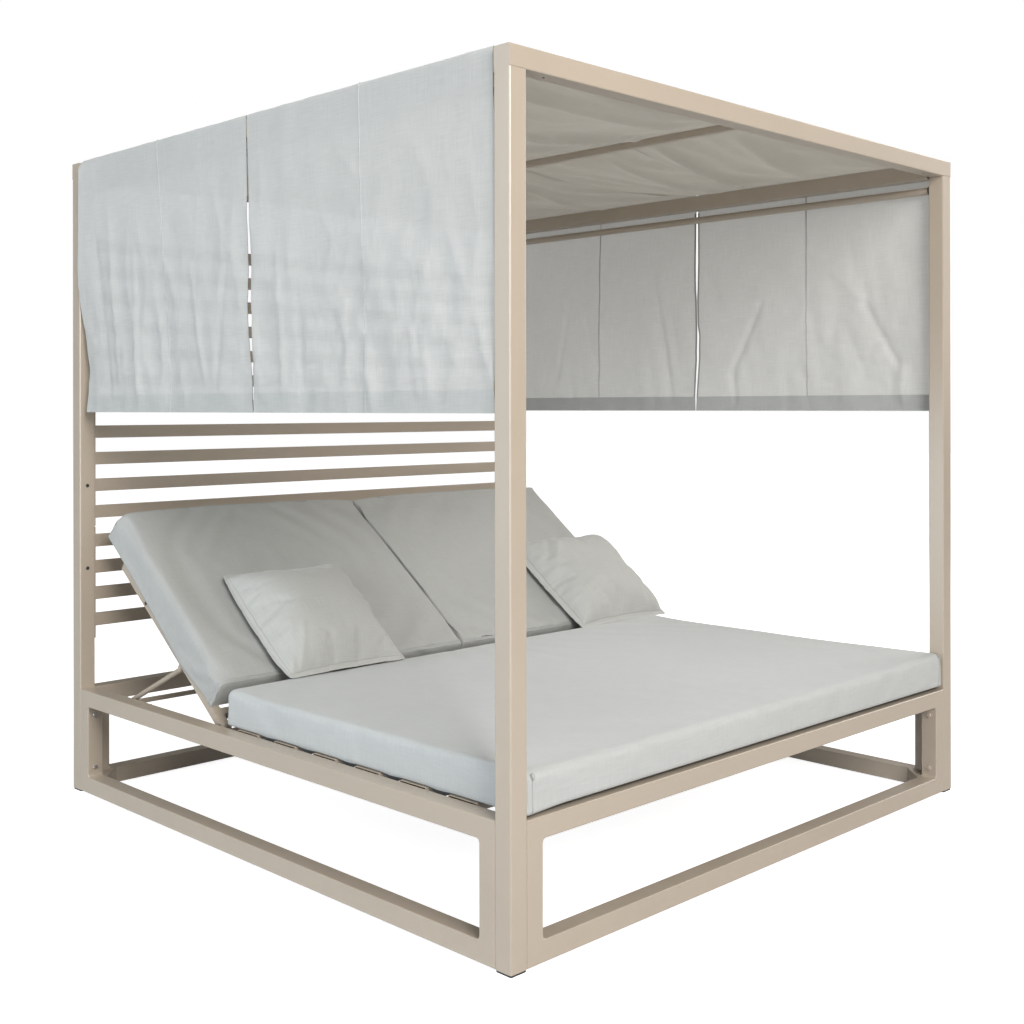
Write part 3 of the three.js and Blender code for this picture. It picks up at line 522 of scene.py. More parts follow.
def woven_fabric(name, colour, thread_pitch, slub, depth, seams=(), alpha=None, glow=0.0):
    """A plain weave with two thread tones, soft blotches, and dark seams at given (axis, place, width).

    The alpha is None, or a pair for the canopy: one for the cloth that hangs and one for the roof,
    whose cloth is also tinted browner and darker as painted shade. The glow is the share of light that
    soaks through a thin cloth.
    """
    material, tree, shader, place = start_material(name, 0.92, Sheen_Weight=0.25, Sheen_Roughness=0.45)
    if alpha:
        spot = tree.nodes.new("ShaderNodeSeparateXYZ")
        wire(tree, (place, spot.inputs[0]))
        wire(tree, (ramp(tree, spot.outputs["Z"], *ROOF_HEIGHTS, *alpha), shader.inputs["Alpha"]))
    pattern = tree.nodes.new("ShaderNodeUVMap")
    pattern.uv_map = "flat_pattern"
    weave = group_node(tree, weave_group, Thread_pitch=thread_pitch, Slub=slub)
    grain = group_node(tree, grain_group, Grain_per_metre=260.0, Cloud_per_metre=6.0)
    wire(tree, (pattern.outputs["UV"], weave.inputs["UV"]), (place, grain.inputs["Vector"]))
    light = tuple(min(1.0, c * 1.07) for c in colour)
    dark = tinted(colour, 0.90)
    threads = mix_colour(tree, ramp(tree, weave.outputs["Tone"], 0.1, 1.1), dark, light)
    base = mix_colour(tree, math_node(tree, "MULTIPLY", grain.outputs["Tone"], 0.35), threads, dark)
    if alpha:
        # Painted shade: the roof's cloth is multiplied by the roof's tint, darker and browner.
        shaded_roof = tree.nodes.new("ShaderNodeMix")
        shaded_roof.data_type = "RGBA"
        shaded_roof.blend_type = "MULTIPLY"
        shaded_roof.inputs[7].default_value = (*ROOF_SHADE_TINT, 1)
        inwards = ramp(tree, math_node(tree, "ABSOLUTE", spot.outputs["X"]), *ROOF_SIDES)
        wire(tree, (inwards, shaded_roof.inputs[0]), (base, shaded_roof.inputs[6]))
        base = shaded_roof.outputs[2]
    height = weave.outputs["Height"]
    if seams:
        parts = tree.nodes.new("ShaderNodeSeparateXYZ")
        wire(tree, (pattern.outputs["UV"], parts.inputs[0]))
        for axis, line, width in seams:
            seam = group_node(tree, seam_group, Place=line, Width=width)
            wire(tree, (parts.outputs[axis], seam.inputs["Across"]))
            base = mix_colour(tree, seam.outputs["Mask"], base, tinted(colour, 0.76))
            dip = math_node(tree, "MULTIPLY", seam.outputs["Mask"], 1.5)
            height = math_node(tree, "SUBTRACT", height, dip)
    wire(tree, (base, shader.inputs["Base Color"]))
    bump(tree, shader, height, depth, 0.6)
    if glow:
        through = tree.nodes.new("ShaderNodeBsdfTranslucent")
        both = tree.nodes.new("ShaderNodeMixShader")
        both.inputs[0].default_value = glow
        wire(
            tree,
            (base, through.inputs["Color"]),
            (shader.outputs[0], both.inputs[1]),
            (through.outputs[0], both.inputs[2]),
            (both.outputs[0], tree.nodes["Material Output"].inputs["Surface"]),
        )
    return material


CUSHION_COLOUR = (0.46, 0.474, 0.468)
CANOPY_COLOUR = (0.61, 0.615, 0.60)
# The pitch of the threads, how strong the slubs are, and how deep the weave is
CUSHION_WEAVE = (0.0016, 0.5, 0.0003)
CANOPY_WEAVE = (0.0013, 0.5, 0.0002)
PILLOW_SIZE = 0.450
PILLOW_FLANGE = 0.013
cushion_cloth = woven_fabric("cushion_fabric", CUSHION_COLOUR, *CUSHION_WEAVE)
stitch_line = PILLOW_SIZE / 2 - PILLOW_FLANGE
stitches = [(axis, sign * stitch_line, 0.0011) for axis in ("X", "Y") for sign in (-1, 1)]
# The pillows wear the cushions' cloth made a little darker and warmer: painted shade.
pillow_shaded_colour = tinted(CUSHION_COLOUR, 0.95, 0.93, 0.90)
pillow_cloth = woven_fabric("pillow_fabric", pillow_shaded_colour, *CUSHION_WEAVE, stitches)
# The back cushions wear the cushions' cloth made darker and warmer: painted shade, for the shade that the
# canopy casts on them.
back_shaded_cloth = woven_fabric("back_cushion_shaded_fabric", tinted(CUSHION_COLOUR, 0.82, 0.805, 0.785), *CUSHION_WEAVE)
welt_cloth = woven_fabric("cushion_welt", tinted(CUSHION_COLOUR, 0.86), 0.0016, 0.3, 0.0003)
print("fabric finishes made")

# %% [markdown]
# ## Making a soft mesh
#
# A cushion starts as the outer points of a box-shaped lattice. Each point is moved by a formula, so
# the whole surface is one array sum, and the closed quad mesh keeps its rows, which makes it easy to
# find the seams again later: they are simply the points whose lattice number is at a corner.

# %% A closed lattice shell


def unit(values):
    """Values held between 0 and 1."""
    return np.clip(values, 0, 1)


def grid_pairs(rows, columns):
    """The row and the column number of every cell of a grid, as two flat arrays."""
    return (g.ravel() for g in np.meshgrid(np.arange(rows), np.arange(columns), indexing="ij"))


def grid_quads(row, col, far_row, far_col, columns):
    """Quads between neighbouring rows and columns of points that are numbered row by row."""
    corners = ((row, col), (far_row, col), (far_row, far_col), (row, far_col))
    return np.stack([r * columns + c for r, c in corners], 1)


def lattice_shell(counts):
    """The outer points of a lattice and the quads between them, facing outwards.

    Returns the lattice numbers of each point, the quads, and for each quad the two axes that it
    spans. Points that two faces share are found by giving each lattice number one key.
    """
    counts = np.array(counts)
    quads, spans = [], []
    for axis in range(3):
        a, b = [k for k in range(3) if k != axis]
        i, j = grid_pairs(counts[a], counts[b])
        for end in (0, 1):
            corners = np.zeros((len(i), 4, 3), int)
            for slot, (step_a, step_b) in enumerate(((0, 0), (1, 0), (1, 1), (0, 1))):
                corners[:, slot, a] = i + step_a
                corners[:, slot, b] = j + step_b
                corners[:, slot, axis] = end * counts[axis]
            inward = (end == 0) != (axis == 1)
            quads.append(corners[:, ::-1] if inward else corners)
            spans.append(np.tile((a, b), (len(i), 1)))
    quads = np.concatenate(quads)
    strides = np.array([(counts[1] + 1) * (counts[2] + 1), counts[2] + 1, 1])
    keys, faces = np.unique((quads @ strides).ravel(), return_inverse=True)
    lattice = np.stack([keys // strides[0], keys // strides[1] % (counts[1] + 1), keys % strides[1]], 1)
    return lattice, faces.reshape(-1, 4), np.concatenate(spans)


def make_mesh(name, points, faces, pattern=None, material=None):
    """A smooth mesh object from arrays. The pattern is a (faces, corners, 2) array in metres."""
    mesh = bpy.data.meshes.new(name)
    mesh.from_pydata(np.asarray(points).tolist(), [], faces if isinstance(faces, list) else faces.tolist())
    if pattern is not None:
        layer = mesh.uv_layers.new(name="flat_pattern")
        layer.data.foreach_set("uv", np.asarray(pattern, np.float32).ravel())
    mesh.polygons.foreach_set("use_smooth", np.ones(len(mesh.polygons), bool))
    if material is not None:
        mesh.materials.append(material)
    made = bpy.data.objects.new(name, mesh)
    scene.collection.objects.link(made)
    return made


def corner_numbers(piece):
    """The number of the point at each corner of each face of a piece."""
    numbers = np.empty(len(piece.data.loops), np.int32)
    piece.data.loops.foreach_get("vertex_index", numbers)
    return numbers


def soft_noise(points, scale, seed):
    """Smooth noise from -1 to 1: a sum of eight sine waves in fixed, seeded directions."""
    draw = np.random.default_rng(seed)
    directions = draw.normal(size=(8, points.shape[1]))
    directions /= np.linalg.norm(directions, axis=1, keepdims=True)
    rates = scale * draw.uniform(0.6, 1.7, 8)
    phases = draw.uniform(0, 2 * math.pi, 8)
    return np.sin(2 * math.pi * (points @ directions.T) * rates + phases).sum(1) / 4


def ridge(px, py, ax, ay, bx, by, width):
    """exp(-(d / width)^1.15) with d the distance to the line from a to b, fading out at its ends."""
    dx, dy = bx - ax, by - ay
    length = math.hypot(dx, dy)
    along = ((px - ax) * dx + (py - ay) * dy) / length**2
    off = np.abs((px - ax) * dy - (py - ay) * dx) / length
    fade = unit(np.minimum(along + 0.12, 1.12 - along) / 0.24)
    return np.exp(-((off / width) ** 1.15)) * fade * fade * (3 - 2 * fade)


def tube_along(name, path, radius, material, closed=False, sides=8):
    """A round cord along a path: a circle in the plane square to the path at each of its points."""
    path = np.asarray(path, float)
    ahead = np.roll(path, -1, 0) - np.roll(path, 1, 0)
    if not closed:
        ahead[0], ahead[-1] = path[1] - path[0], path[-1] - path[-2]
    ahead /= np.linalg.norm(ahead, axis=1, keepdims=True)
    side = np.empty_like(path)
    guess = np.array([0.0, 0.0, 1.0]) if abs(ahead[0, 2]) < 0.8 else np.array([1.0, 0.0, 0.0])
    for k, direction in enumerate(ahead):
        guess = guess - direction * (guess @ direction)
        guess /= np.linalg.norm(guess)
        side[k] = guess
    up = np.cross(ahead, side)
    angle = np.arange(sides) * 2 * math.pi / sides
    ring = np.cos(angle)[None, :, None] * side[:, None] + np.sin(angle)[None, :, None] * up[:, None]
    points = (path[:, None] + radius * ring).reshape(-1, 3)
    rows = len(path)
    row, col = grid_pairs(rows if closed else rows - 1, sides)
    faces = grid_quads(row, col, (row + 1) % rows, (col + 1) % sides, sides)
    faces = faces[:, ::-1].tolist()
    if not closed:
        faces.append(list(range(sides))[::-1])
        faces.append([(rows - 1) * sides + k for k in range(sides)])
    run = np.concatenate([[0], np.cumsum(np.linalg.norm(np.diff(path, axis=0), axis=1))])
    cord = make_mesh(name, points, faces, None, material)
    layer = cord.data.uv_layers.new(name="flat_pattern")
    corner = corner_numbers(cord)
    flat = np.stack([run[corner // sides], (corner % sides) * 2 * math.pi * radius / sides], 1)
    layer.data.foreach_set("uv", flat.astype(np.float32).ravel())
    return cord

# %% [markdown]
# ## Box cushions
#
# The mattress and the back cushions are foam in a cover. The foam gives the box, and the cover gives
# the soft edges: it is cut a little too large, so it lies loose and buckles slightly near the seams.
# A cloth simulation shows this well. Every point is held to the foam by a weak spring, the points of
# the underside by a strong one, and the cover grows by a small share. The mattress's underside is
# painted near-black as painted shade, so that the gaps between the slats look dark, and its foam sinks
# a little between the slats.

# %% Box cushion shape


END_REACH = 0.05
CORNER_REACH = 0.09


def side_places(length, low_edge, high_edge, pitch, cells=3):
    """Places along one side of a box: short steps over each rounded edge, even ones between."""
    middle = max(1, round((length - low_edge - high_edge) / pitch))
    inner = np.linspace(low_edge, length - high_edge, middle + 1)
    low = np.linspace(0, low_edge, cells + 1)[:-1]
    high = np.linspace(0, high_edge, cells + 1)[:-1]
    return np.concatenate([low, inner, length - high[::-1]]) - length / 2


def box_cushion(
    name, size, upper, lower, end_share, pitch, crown, draw_in, material, rows_at=(), round_corner=(0, 1, 1)
):
    """A box with rounded edges, a crowned top and sides that pull in between the corners.

    With p a point of the box and q its nearest point on the box less its edges, the rounded point is
    q + edge * v / |v|, where v = (p - q) / edge. The edges go from lower to upper with the height,
    and near both ends their height shrinks to end_share. The upper radius along X differs on the two
    sides, and round_corner gives one upper corner a larger one: its side, and how many times larger
    the radii along X and Z are. The top rises by crown * (1 - x^2)(1 - y^2), with x and y from -1 to
    1, and a side moves in by draw_in * (1 - t^2) along its own length. The row nearest to each place
    in rows_at is moved onto it.
    """
    size, lower = np.array(size), np.array(lower)
    x_radii, upper = upper[0], np.array([max(upper[0]), *upper[1:]])
    y_places, z_places = (side_places(size[k], upper[k], upper[k], pitch) for k in (1, 2))
    places = [side_places(size[0], *x_radii, pitch), y_places, z_places]
    for place in rows_at:
        places[1][np.argmin(np.abs(places[1] - place))] = place
    lattice, faces, spans = lattice_shell([len(p) - 1 for p in places])
    flat = np.stack([places[k][lattice[:, k]] for k in range(3)], 1)
    height = flat[:, 2:] / size[2] + 0.5
    edges = lower + (upper - lower) * height
    edges[:, 0] = lower[0] + (np.where(flat[:, 0] < 0, *x_radii) - lower[0]) * height[:, 0]
    to_end = size[1] / 2 - np.abs(flat[:, 1])
    edges[:, 2] = np.where(height[:, 0] > 0.5, upper[2], lower[2])
    edges[:, 2] *= 1 - (1 - end_share) * np.exp(-((to_end / END_REACH) ** 2))
    corner_side, wider, taller = round_corner
    from_head = (size[1] / 2 - flat[:, 1]) / CORNER_REACH
    at_corner = np.exp(-(from_head**2)) * unit(flat[:, 0] * corner_side / (size[0] / 2)) ** 6
    edges[:, 0] *= 1 + (wider - 1) * at_corner
    edges[:, 2] *= 1 + (taller - 1) * at_corner * (height[:, 0] > 0.5)
    core = np.clip(flat, edges - size / 2, size / 2 - edges)
    away = (flat - core) / edges
    points = core + edges * away / np.maximum(1e-9, np.linalg.norm(away, axis=1, keepdims=True))
    share = points / (size / 2)
    points[:, 0] -= np.sign(share[:, 0]) * draw_in * np.abs(share[:, 0]) ** 8 * (1 - share[:, 1] ** 2)
    points[:, 1] -= np.sign(share[:, 1]) * draw_in * np.abs(share[:, 1]) ** 8 * (1 - share[:, 0] ** 2)
    dome = (1 - share[:, 0] ** 2) * (1 - share[:, 1] ** 2)
    points[:, 2] += crown * np.sqrt(unit(dome)) * unit(share[:, 2])
    rows = np.arange(len(faces))[:, None]
    pattern = np.stack([flat[faces, spans[rows, 0]], flat[faces, spans[rows, 1]]], 2)
    cushion = make_mesh(name, points, faces, pattern, material)
    return cushion, lattice


def mesh_points(piece):
    """All points of a piece as an array."""
    points = np.empty(len(piece.data.vertices) * 3, np.float32)
    piece.data.vertices.foreach_get("co", points)
    return points.reshape(-1, 3).astype(float)


def move_points(piece, points):
    """Writes an array of points back to a piece."""
    piece.data.vertices.foreach_set("co", np.ascontiguousarray(points, np.float32).ravel())
    piece.data.update()


def simulate_cover(piece, held, growth, pressure, frames, cap, bending=0.4):
    """Runs Blender's cloth on a piece and writes the result into its mesh.

    held is a weight for each point: 1 keeps it where it is, a small number is a weak spring back to
    the foam. The cover grows by the share growth. No point moves further than cap.
    """
    before = mesh_points(piece)
    group = piece.vertex_groups.new(name="held")
    for weight in np.unique(held):
        group.add(np.nonzero(held == weight)[0].tolist(), float(weight), "REPLACE")
    cloth = piece.modifiers.new("cover", "CLOTH")
    cloth.settings.quality = 5
    cloth.settings.mass = 0.2
    cloth.settings.tension_stiffness = 14
    cloth.settings.compression_stiffness = 14
    cloth.settings.shear_stiffness = 8
    cloth.settings.bending_stiffness = bending
    cloth.settings.shrink_min = -growth
    cloth.settings.effector_weights.gravity = 0
    cloth.collision_settings.use_collision = False
    if pressure:
        cloth.settings.use_pressure = True
        cloth.settings.uniform_pressure_force = pressure
    cloth.settings.vertex_group_mass = "held"
    cloth.point_cache.frame_start = 1
    cloth.point_cache.frame_end = frames
    for step in range(1, frames + 1):
        scene.frame_set(step)
    baked = piece.evaluated_get(bpy.context.evaluated_depsgraph_get())
    after = np.empty(len(baked.data.vertices) * 3, np.float32)
    baked.data.vertices.foreach_get("co", after)
    after = after.reshape(-1, 3).astype(float)
    piece.modifiers.remove(cloth)
    piece.vertex_groups.clear()
    scene.frame_set(1)
    move = after - before
    far = np.linalg.norm(move, axis=1, keepdims=True)
    limit = cap * np.tanh(far / cap) / np.maximum(far, 1e-9)
    move_points(piece, before + move * limit)
    mean_mm, most_mm = float(far.mean()) * 1000, float(far.max()) * 1000
    print(piece.name, "cover moved by", round(mean_mm, 2), "mm, at most", round(most_mm, 1))


def smooth_finish(piece):
    """One subdivision, so that the light runs smoothly over the folds."""
    fine = piece.modifiers.new("fine", "SUBSURF")
    fine.levels = 1
    fine.render_levels = 1


# %% Mattress
MATTRESS_LOW = (-0.9365, -0.9945, 0.3303)
MATTRESS_HIGH = (0.9435, 0.1925, 0.4273)
MATTRESS_UPPER = ((0.020, 0.024), 0.026, 0.024)
MATTRESS_LOWER = (0.012, 0.012, 0.007)
MATTRESS_CROWN = 0.003
REAR_SWELL = 0.006
REAR_LIMIT = 0.1928
# How far the foot's lower edge stands off the rail, and how much fuller the right side is
FOOT_LIFT = 0.006
FOOT_LIFT_REACH = 0.03
RIGHT_SWELL = 0.004
FOOT_CORNER_SWELL = 0.012
SLAT_SAG = 0.015
# The mattress's underside is near-black: painted shade, so that the gaps between the slats look dark.
painted_shade_underside = woven_fabric("painted_shade_underside", (0.035, 0.035, 0.036), 0.0030, 0.2, 0.0005)
mattress_size = np.subtract(MATTRESS_HIGH, MATTRESS_LOW)
mattress_middle = np.add(MATTRESS_HIGH, MATTRESS_LOW) / 2
slat_ends = np.array([[corner[1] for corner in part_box(f"bed_slat_{k}")] for k in range(1, 7)])
slat_ends = slat_ends - mattress_middle[1]
mattress, mattress_lattice = box_cushion(
    "mattress_cover",
    mattress_size,
    MATTRESS_UPPER,
    MATTRESS_LOWER,
    1.0,
    0.021,
    MATTRESS_CROWN,
    0.0015,
    cushion_cloth,
    slat_ends.ravel(),
)
held = np.where(mattress_lattice[:, 2] <= 1, 1.0, 0.16)
simulate_cover(mattress, held, 0.003, 0.0, 14, 0.002)
shape = mesh_points(mattress)
shape[:, 2] += 0.0005 * soft_noise(shape[:, :2], 2.2, 5) * unit(shape[:, 2] / 0.04)
shape[:, 2] = np.maximum(shape[:, 2], -mattress_size[2] / 2)
full_height = unit(shape[:, 2] / 0.03)
shape[:, 2] += REAR_SWELL * unit((shape[:, 1] - 0.40) / 0.17) ** 2 * full_height
to_right = unit(shape[:, 0] / 0.94) ** 2
to_foot = unit(-shape[:, 1] / 0.59) ** 2
shape[:, 2] += (RIGHT_SWELL * to_right + FOOT_CORNER_SWELL * to_right * to_foot) * full_height
foot_edge = np.exp(-((shape[:, 1] + mattress_size[1] / 2) / FOOT_LIFT_REACH))
foot_edge = foot_edge * unit((shape[:, 0] + 0.93) / 0.10)
shape[:, 2] += FOOT_LIFT * foot_edge * unit(0.5 - shape[:, 2] / mattress_size[2])
shape[:, 1] = np.minimum(shape[:, 1], REAR_LIMIT - mattress_middle[1])
last_column = mattress_lattice[:, 0].max()
under = (mattress_lattice[:, 2] == 0) & (mattress_lattice[:, 0] > 0) & (mattress_lattice[:, 0] < last_column)
for near, far in zip(slat_ends[:-1, 1], slat_ends[1:, 0]):
    share = unit((shape[:, 1] - near) / (far - near))
    shape[:, 2] -= under * SLAT_SAG * np.sin(math.pi * share) ** 0.7
move_points(mattress, shape + mattress_middle)
# Painted shade: the faces of the underside get the near-black finish.
mattress.data.materials.append(painted_shade_underside)
below = (mattress_lattice[corner_numbers(mattress), 2] == 0).reshape(-1, 4).all(1)
mattress.data.polygons.foreach_set("material_index", below.astype(np.int32))
print("mattress", len(mattress.data.polygons), "quads")

# %% [markdown]
# Beside each corner of the mattress cover one upright seam closes it, and at the foot a small loop
# of its cord is left standing at the top. The seam is a thin cord along a column of the cover's own
# points.

# %% Mattress corner seams
SEAM_COLUMN = 3
SEAM_CORD = 0.0018
LOOP_CORD = 0.0009
LOOP_HALF_WIDTH = 0.0035
LOOP_HALF_HEIGHT = 0.0065
corner_seams = []
last_row = mattress_lattice[:, 1].max()
mattress_now = mesh_points(mattress)
for end, row, outward in (("foot", 0, -1), ("head", last_row, 1)):
    for side, column in (("left", SEAM_COLUMN), ("right", last_column - SEAM_COLUMN)):
        on_seam = (mattress_lattice[:, 0] == column) & (mattress_lattice[:, 1] == row)
        path = mattress_now[on_seam][np.argsort(mattress_lattice[on_seam, 2])]
        path[:, 1] = np.minimum(path[:, 1], REAR_LIMIT - SEAM_CORD)
        corner_seams.append(tube_along(f"mattress_seam_{end}_{side}", path, SEAM_CORD, welt_cloth))
        if end == "head":
            continue
        angle = np.linspace(0, 2 * math.pi, 21)[:-1]
        top = path[-2] + (0, 0.002 * outward, 0.002)
        swing = outward * LOOP_HALF_WIDTH * (1 - np.cos(angle))
        ring = top + np.stack([LOOP_HALF_WIDTH * np.sin(angle), swing, LOOP_HALF_HEIGHT * np.cos(angle)], 1)
        corner_seams.append(tube_along(f"mattress_loop_{end}_{side}", ring, LOOP_CORD, welt_cloth, closed=True))
print(len(corner_seams), "seams and loops")

# %% [markdown]
# ## Back cushions
#
# Each back cushion lies on its own backrest and slides with it. Its cover has an end panel at the
# lower and the upper end, sewn in with a double seam that shows as two thin welts round the edge.

# %% Backrest frame: from along-the-backrest places to the bed's
HINGE_Y = 0.232
HINGE_Z = 0.3185
BACKREST_ANGLE = math.radians(36.5)


def on_backrest(points):
    """(x, along, off) to (x, y, z): a turn of the backrest's angle about its hinge line."""
    x, along, off = points[:, 0], points[:, 1], points[:, 2]
    cosine, sine = math.cos(BACKREST_ANGLE), math.sin(BACKREST_ANGLE)
    return np.stack([x, HINGE_Y + along * cosine - off * sine, HINGE_Z + along * sine + off * cosine], 1)


CUSHION_LOW = (0.005, 0.065, 0.0128)
CUSHION_HIGH = (0.9325, 0.8145, 0.1068)
CUSHION_UPPER = {"left": ((0.028, 0.007), 0.014, 0.030), "right": ((0.007, 0.014), 0.014, 0.030)}
# The corner that lost its shape: which side, and how many times larger its radii are
CUSHION_CORNERS = {"left": (-1, 1.7, 2.4), "right": (1, 0.8, 0.8)}
HEAD_CROWN = 0.017
HEAD_CROWN_START = 0.40
OUTER_SWELL = {"left": 0.0, "right": 0.008}
INNER_SWELL = 0.003
INNER_LIMIT = 0.0012
CUSHION_LOWER = (0.004, 0.006, 0.008)
CUSHION_END_SHARE = 0.5
END_DROP = 0.005
WELT_CORD = 0.0014
# The cover's outer side hangs over the rail a little: places along the backrest, and how low it is
LIP_PLACES = (0.066, 0.12, 0.17, 0.263, 0.38, 0.513, 0.655, 0.74)
LIP_HEIGHTS = (0.0128, 0.0120, 0.0020, -0.0100, -0.0020, 0.0060, 0.0110, 0.0128)
LIP_SIDES = (0.9332, 0.9306, 0.9304)


def hang_over(shape, lattice, sign):
    """Moves the outer bottom rows of a back cushion out past the rail and down to the lip's height."""
    last = lattice[:, 0].max()
    for step, side in enumerate(LIP_SIDES):
        on_lip = (lattice[:, 2] == 0) & (lattice[:, 0] == (last - step if sign > 0 else step))
        low = np.interp(shape[on_lip, 1], LIP_PLACES, LIP_HEIGHTS)
        shape[on_lip, 2] = low + (0.0, 0.0006, 0.0)[step] if step < 2 else 0.0130
        shape[on_lip, 0] = sign * side
    return shape


cushions = {}
cushion_welts = {}
for side, sign in (("left", -1), ("right", 1)):
    size = np.subtract(CUSHION_HIGH, CUSHION_LOW)
    middle = np.add(CUSHION_HIGH, CUSHION_LOW) / 2 * (sign, 1, 1)
    piece, lattice = box_cushion(
        f"back_cushion_{side}_cover",
        size,
        CUSHION_UPPER[side],
        CUSHION_LOWER,
        CUSHION_END_SHARE,
        0.016,
        0.003,
        0.002,
        back_shaded_cloth,
        round_corner=CUSHION_CORNERS[side],
    )
    last = lattice.max(0)
    sewn = (lattice[:, 1] == 0) | (lattice[:, 1] == last[1])
    rim = sewn & ((lattice[:, 0] % last[0] == 0) | (lattice[:, 2] % last[2] == 0))
    held = np.where(lattice[:, 2] <= 1, 1.0, np.where(rim, 0.7, 0.08))
    simulate_cover(piece, held, 0.010, 0.0, 16, 0.005)
    shape = mesh_points(piece)
    shape[:, 2] += 0.0012 * soft_noise(shape[:, :2], 2.6, 11 + sign) * unit(shape[:, 2] / 0.04)
    shape[:, 2] -= END_DROP * np.exp(-(shape[:, 1] + size[1] / 2) / 0.035) * unit(shape[:, 2] / size[2] + 0.5)
    to_head = unit((shape[:, 1] + middle[1] - HEAD_CROWN_START) / 0.30) ** 1.5
    over = unit(shape[:, 2] / 0.047)
    out_share = unit(shape[:, 0] * sign / (size[0] / 2))
    crowned = 1 - np.abs(shape[:, 0] / (size[0] / 2)) ** 4
    shape[:, 2] += to_head * over * (HEAD_CROWN * crowned + OUTER_SWELL[side] * out_share**4)
    shape[:, 1] = np.maximum(shape[:, 1], 0.0003 - size[1] / 2)
    shape[:, 0] -= sign * INNER_SWELL * unit(-shape[:, 0] * sign / (size[0] / 2)) ** 8
    shape[:, 0] = sign * np.maximum(shape[:, 0] * sign, INNER_LIMIT - abs(middle[0]))
    shape[:, 2] = np.maximum(shape[:, 2], -size[2] / 2)
    shape = hang_over(shape + middle, lattice, sign)
    welts = []
    for which, row in (("lower", 0), ("lower_inner", 3), ("upper", last[1]), ("upper_inner", last[1] - 3)):
        on_row = (lattice[:, 1] == row) & ((lattice[:, 0] % last[0] == 0) | (lattice[:, 2] % last[2] == 0))
        ring = shape[on_row]
        turn = np.arctan2((ring[:, 2] - middle[2]) / size[2], (ring[:, 0] - middle[0]) / size[0])
        ring = ring[np.argsort(turn)]
        ring[:, 1] = np.clip(ring[:, 1], CUSHION_LOW[1] + 0.0022, CUSHION_HIGH[1] - 0.0005)
        ring[:, 2] = np.maximum(ring[:, 2], CUSHION_LOW[2] + 0.0018)
        ring[:, 0] = sign * np.maximum(ring[:, 0] * sign, INNER_LIMIT + 0.0008)
        welt_name = f"back_cushion_{side}_welt_{which}"
        welts.append(tube_along(welt_name, on_backrest(ring), WELT_CORD, welt_cloth, closed=True))
    move_points(piece, on_backrest(shape))
    cushions[side] = piece
    cushion_welts[side] = welts
print("back cushions", [len(c.data.polygons) for c in cushions.values()], "quads each")

# %% [markdown]
# ## Pillows
#
# A scatter pillow is two square sheets sewn together along a knife edge and stuffed. The sheets
# have more length than the sewn edge has, so they pucker along it, most of all at the corners. The
# cloth simulation shows that: the edge is held, the sheets grow a little and a slight pressure
# fills them. A line of topstitching leaves a flat flange round the pillow. The back is then pressed
# flat where the pillow leans on the back cushion.

# %% Pillows
PILLOW_THICK = 0.130
PILLOW_BACK = 0.021
PILLOW_START = 0.016
PILLOW_REST = 0.1099
PILLOW_PLACES = {"left": -0.507, "right": 0.755}
PILLOW_WIDTHS = {"left": 0.450, "right": 0.464}
PILLOW_CELLS = 52
# How far each edge curves in between its corners, as a share; a negative one curves out
EDGE_SHARES = {"left": -0.040, "right": 0.0, "low": 0.030, "high": 0.012}
CORNER_ROUND_SHARE = 0.020
LOW_EDGE_SLIP = {"left": (0.007, 0.011), "right": (0.007, 0.006)}
# How far the corners at low left, low right, high left and high right stand off a square
CORNER_PULLS = {
    "left": ((-0.010, 0.0), (-0.024, 0.0), (0.0, 0.0), (-0.010, 0.0)),
    "right": ((0.0, 0.0), (0.004, 0.0), (0.0, 0.004), (0.018, 0.006)),
}
# How full the pillow is near its edges: the powers of the share and of the whole
FULLNESS = {"left": (2.6, 0.55), "right": (3.2, 0.44)}
LOW_EDGE_REACH = 0.045
PUCKER_REACH = 0.15
# Each fold: x and y at both ends from the pillow's middle, half width, how far it stands out
PILLOW_FOLDS = {
    "left": (
        (-0.200, -0.195, -0.160, -0.060, 0.009, 0.007),
        (-0.178, -0.200, -0.128, -0.085, 0.008, 0.006),
        (-0.190, -0.180, -0.186, -0.020, 0.007, -0.006),
        (-0.060, -0.200, -0.070, -0.130, 0.008, 0.003),
        (0.195, 0.200, 0.120, 0.150, 0.010, 0.004),
        (0.200, -0.190, 0.130, -0.120, 0.009, 0.005),
    ),
    "right": (
        (-0.205, 0.060, -0.120, 0.170, 0.008, -0.009),
        (-0.180, 0.050, -0.100, 0.140, 0.010, 0.006),
        (-0.170, -0.110, -0.080, -0.075, 0.007, 0.007),
        (-0.160, -0.128, -0.090, -0.098, 0.006, -0.005),
        (-0.190, -0.190, -0.150, -0.120, 0.009, 0.006),
        (0.195, -0.195, 0.140, -0.130, 0.009, 0.006),
        (0.120, -0.195, 0.110, -0.140, 0.007, 0.003),
    ),
}


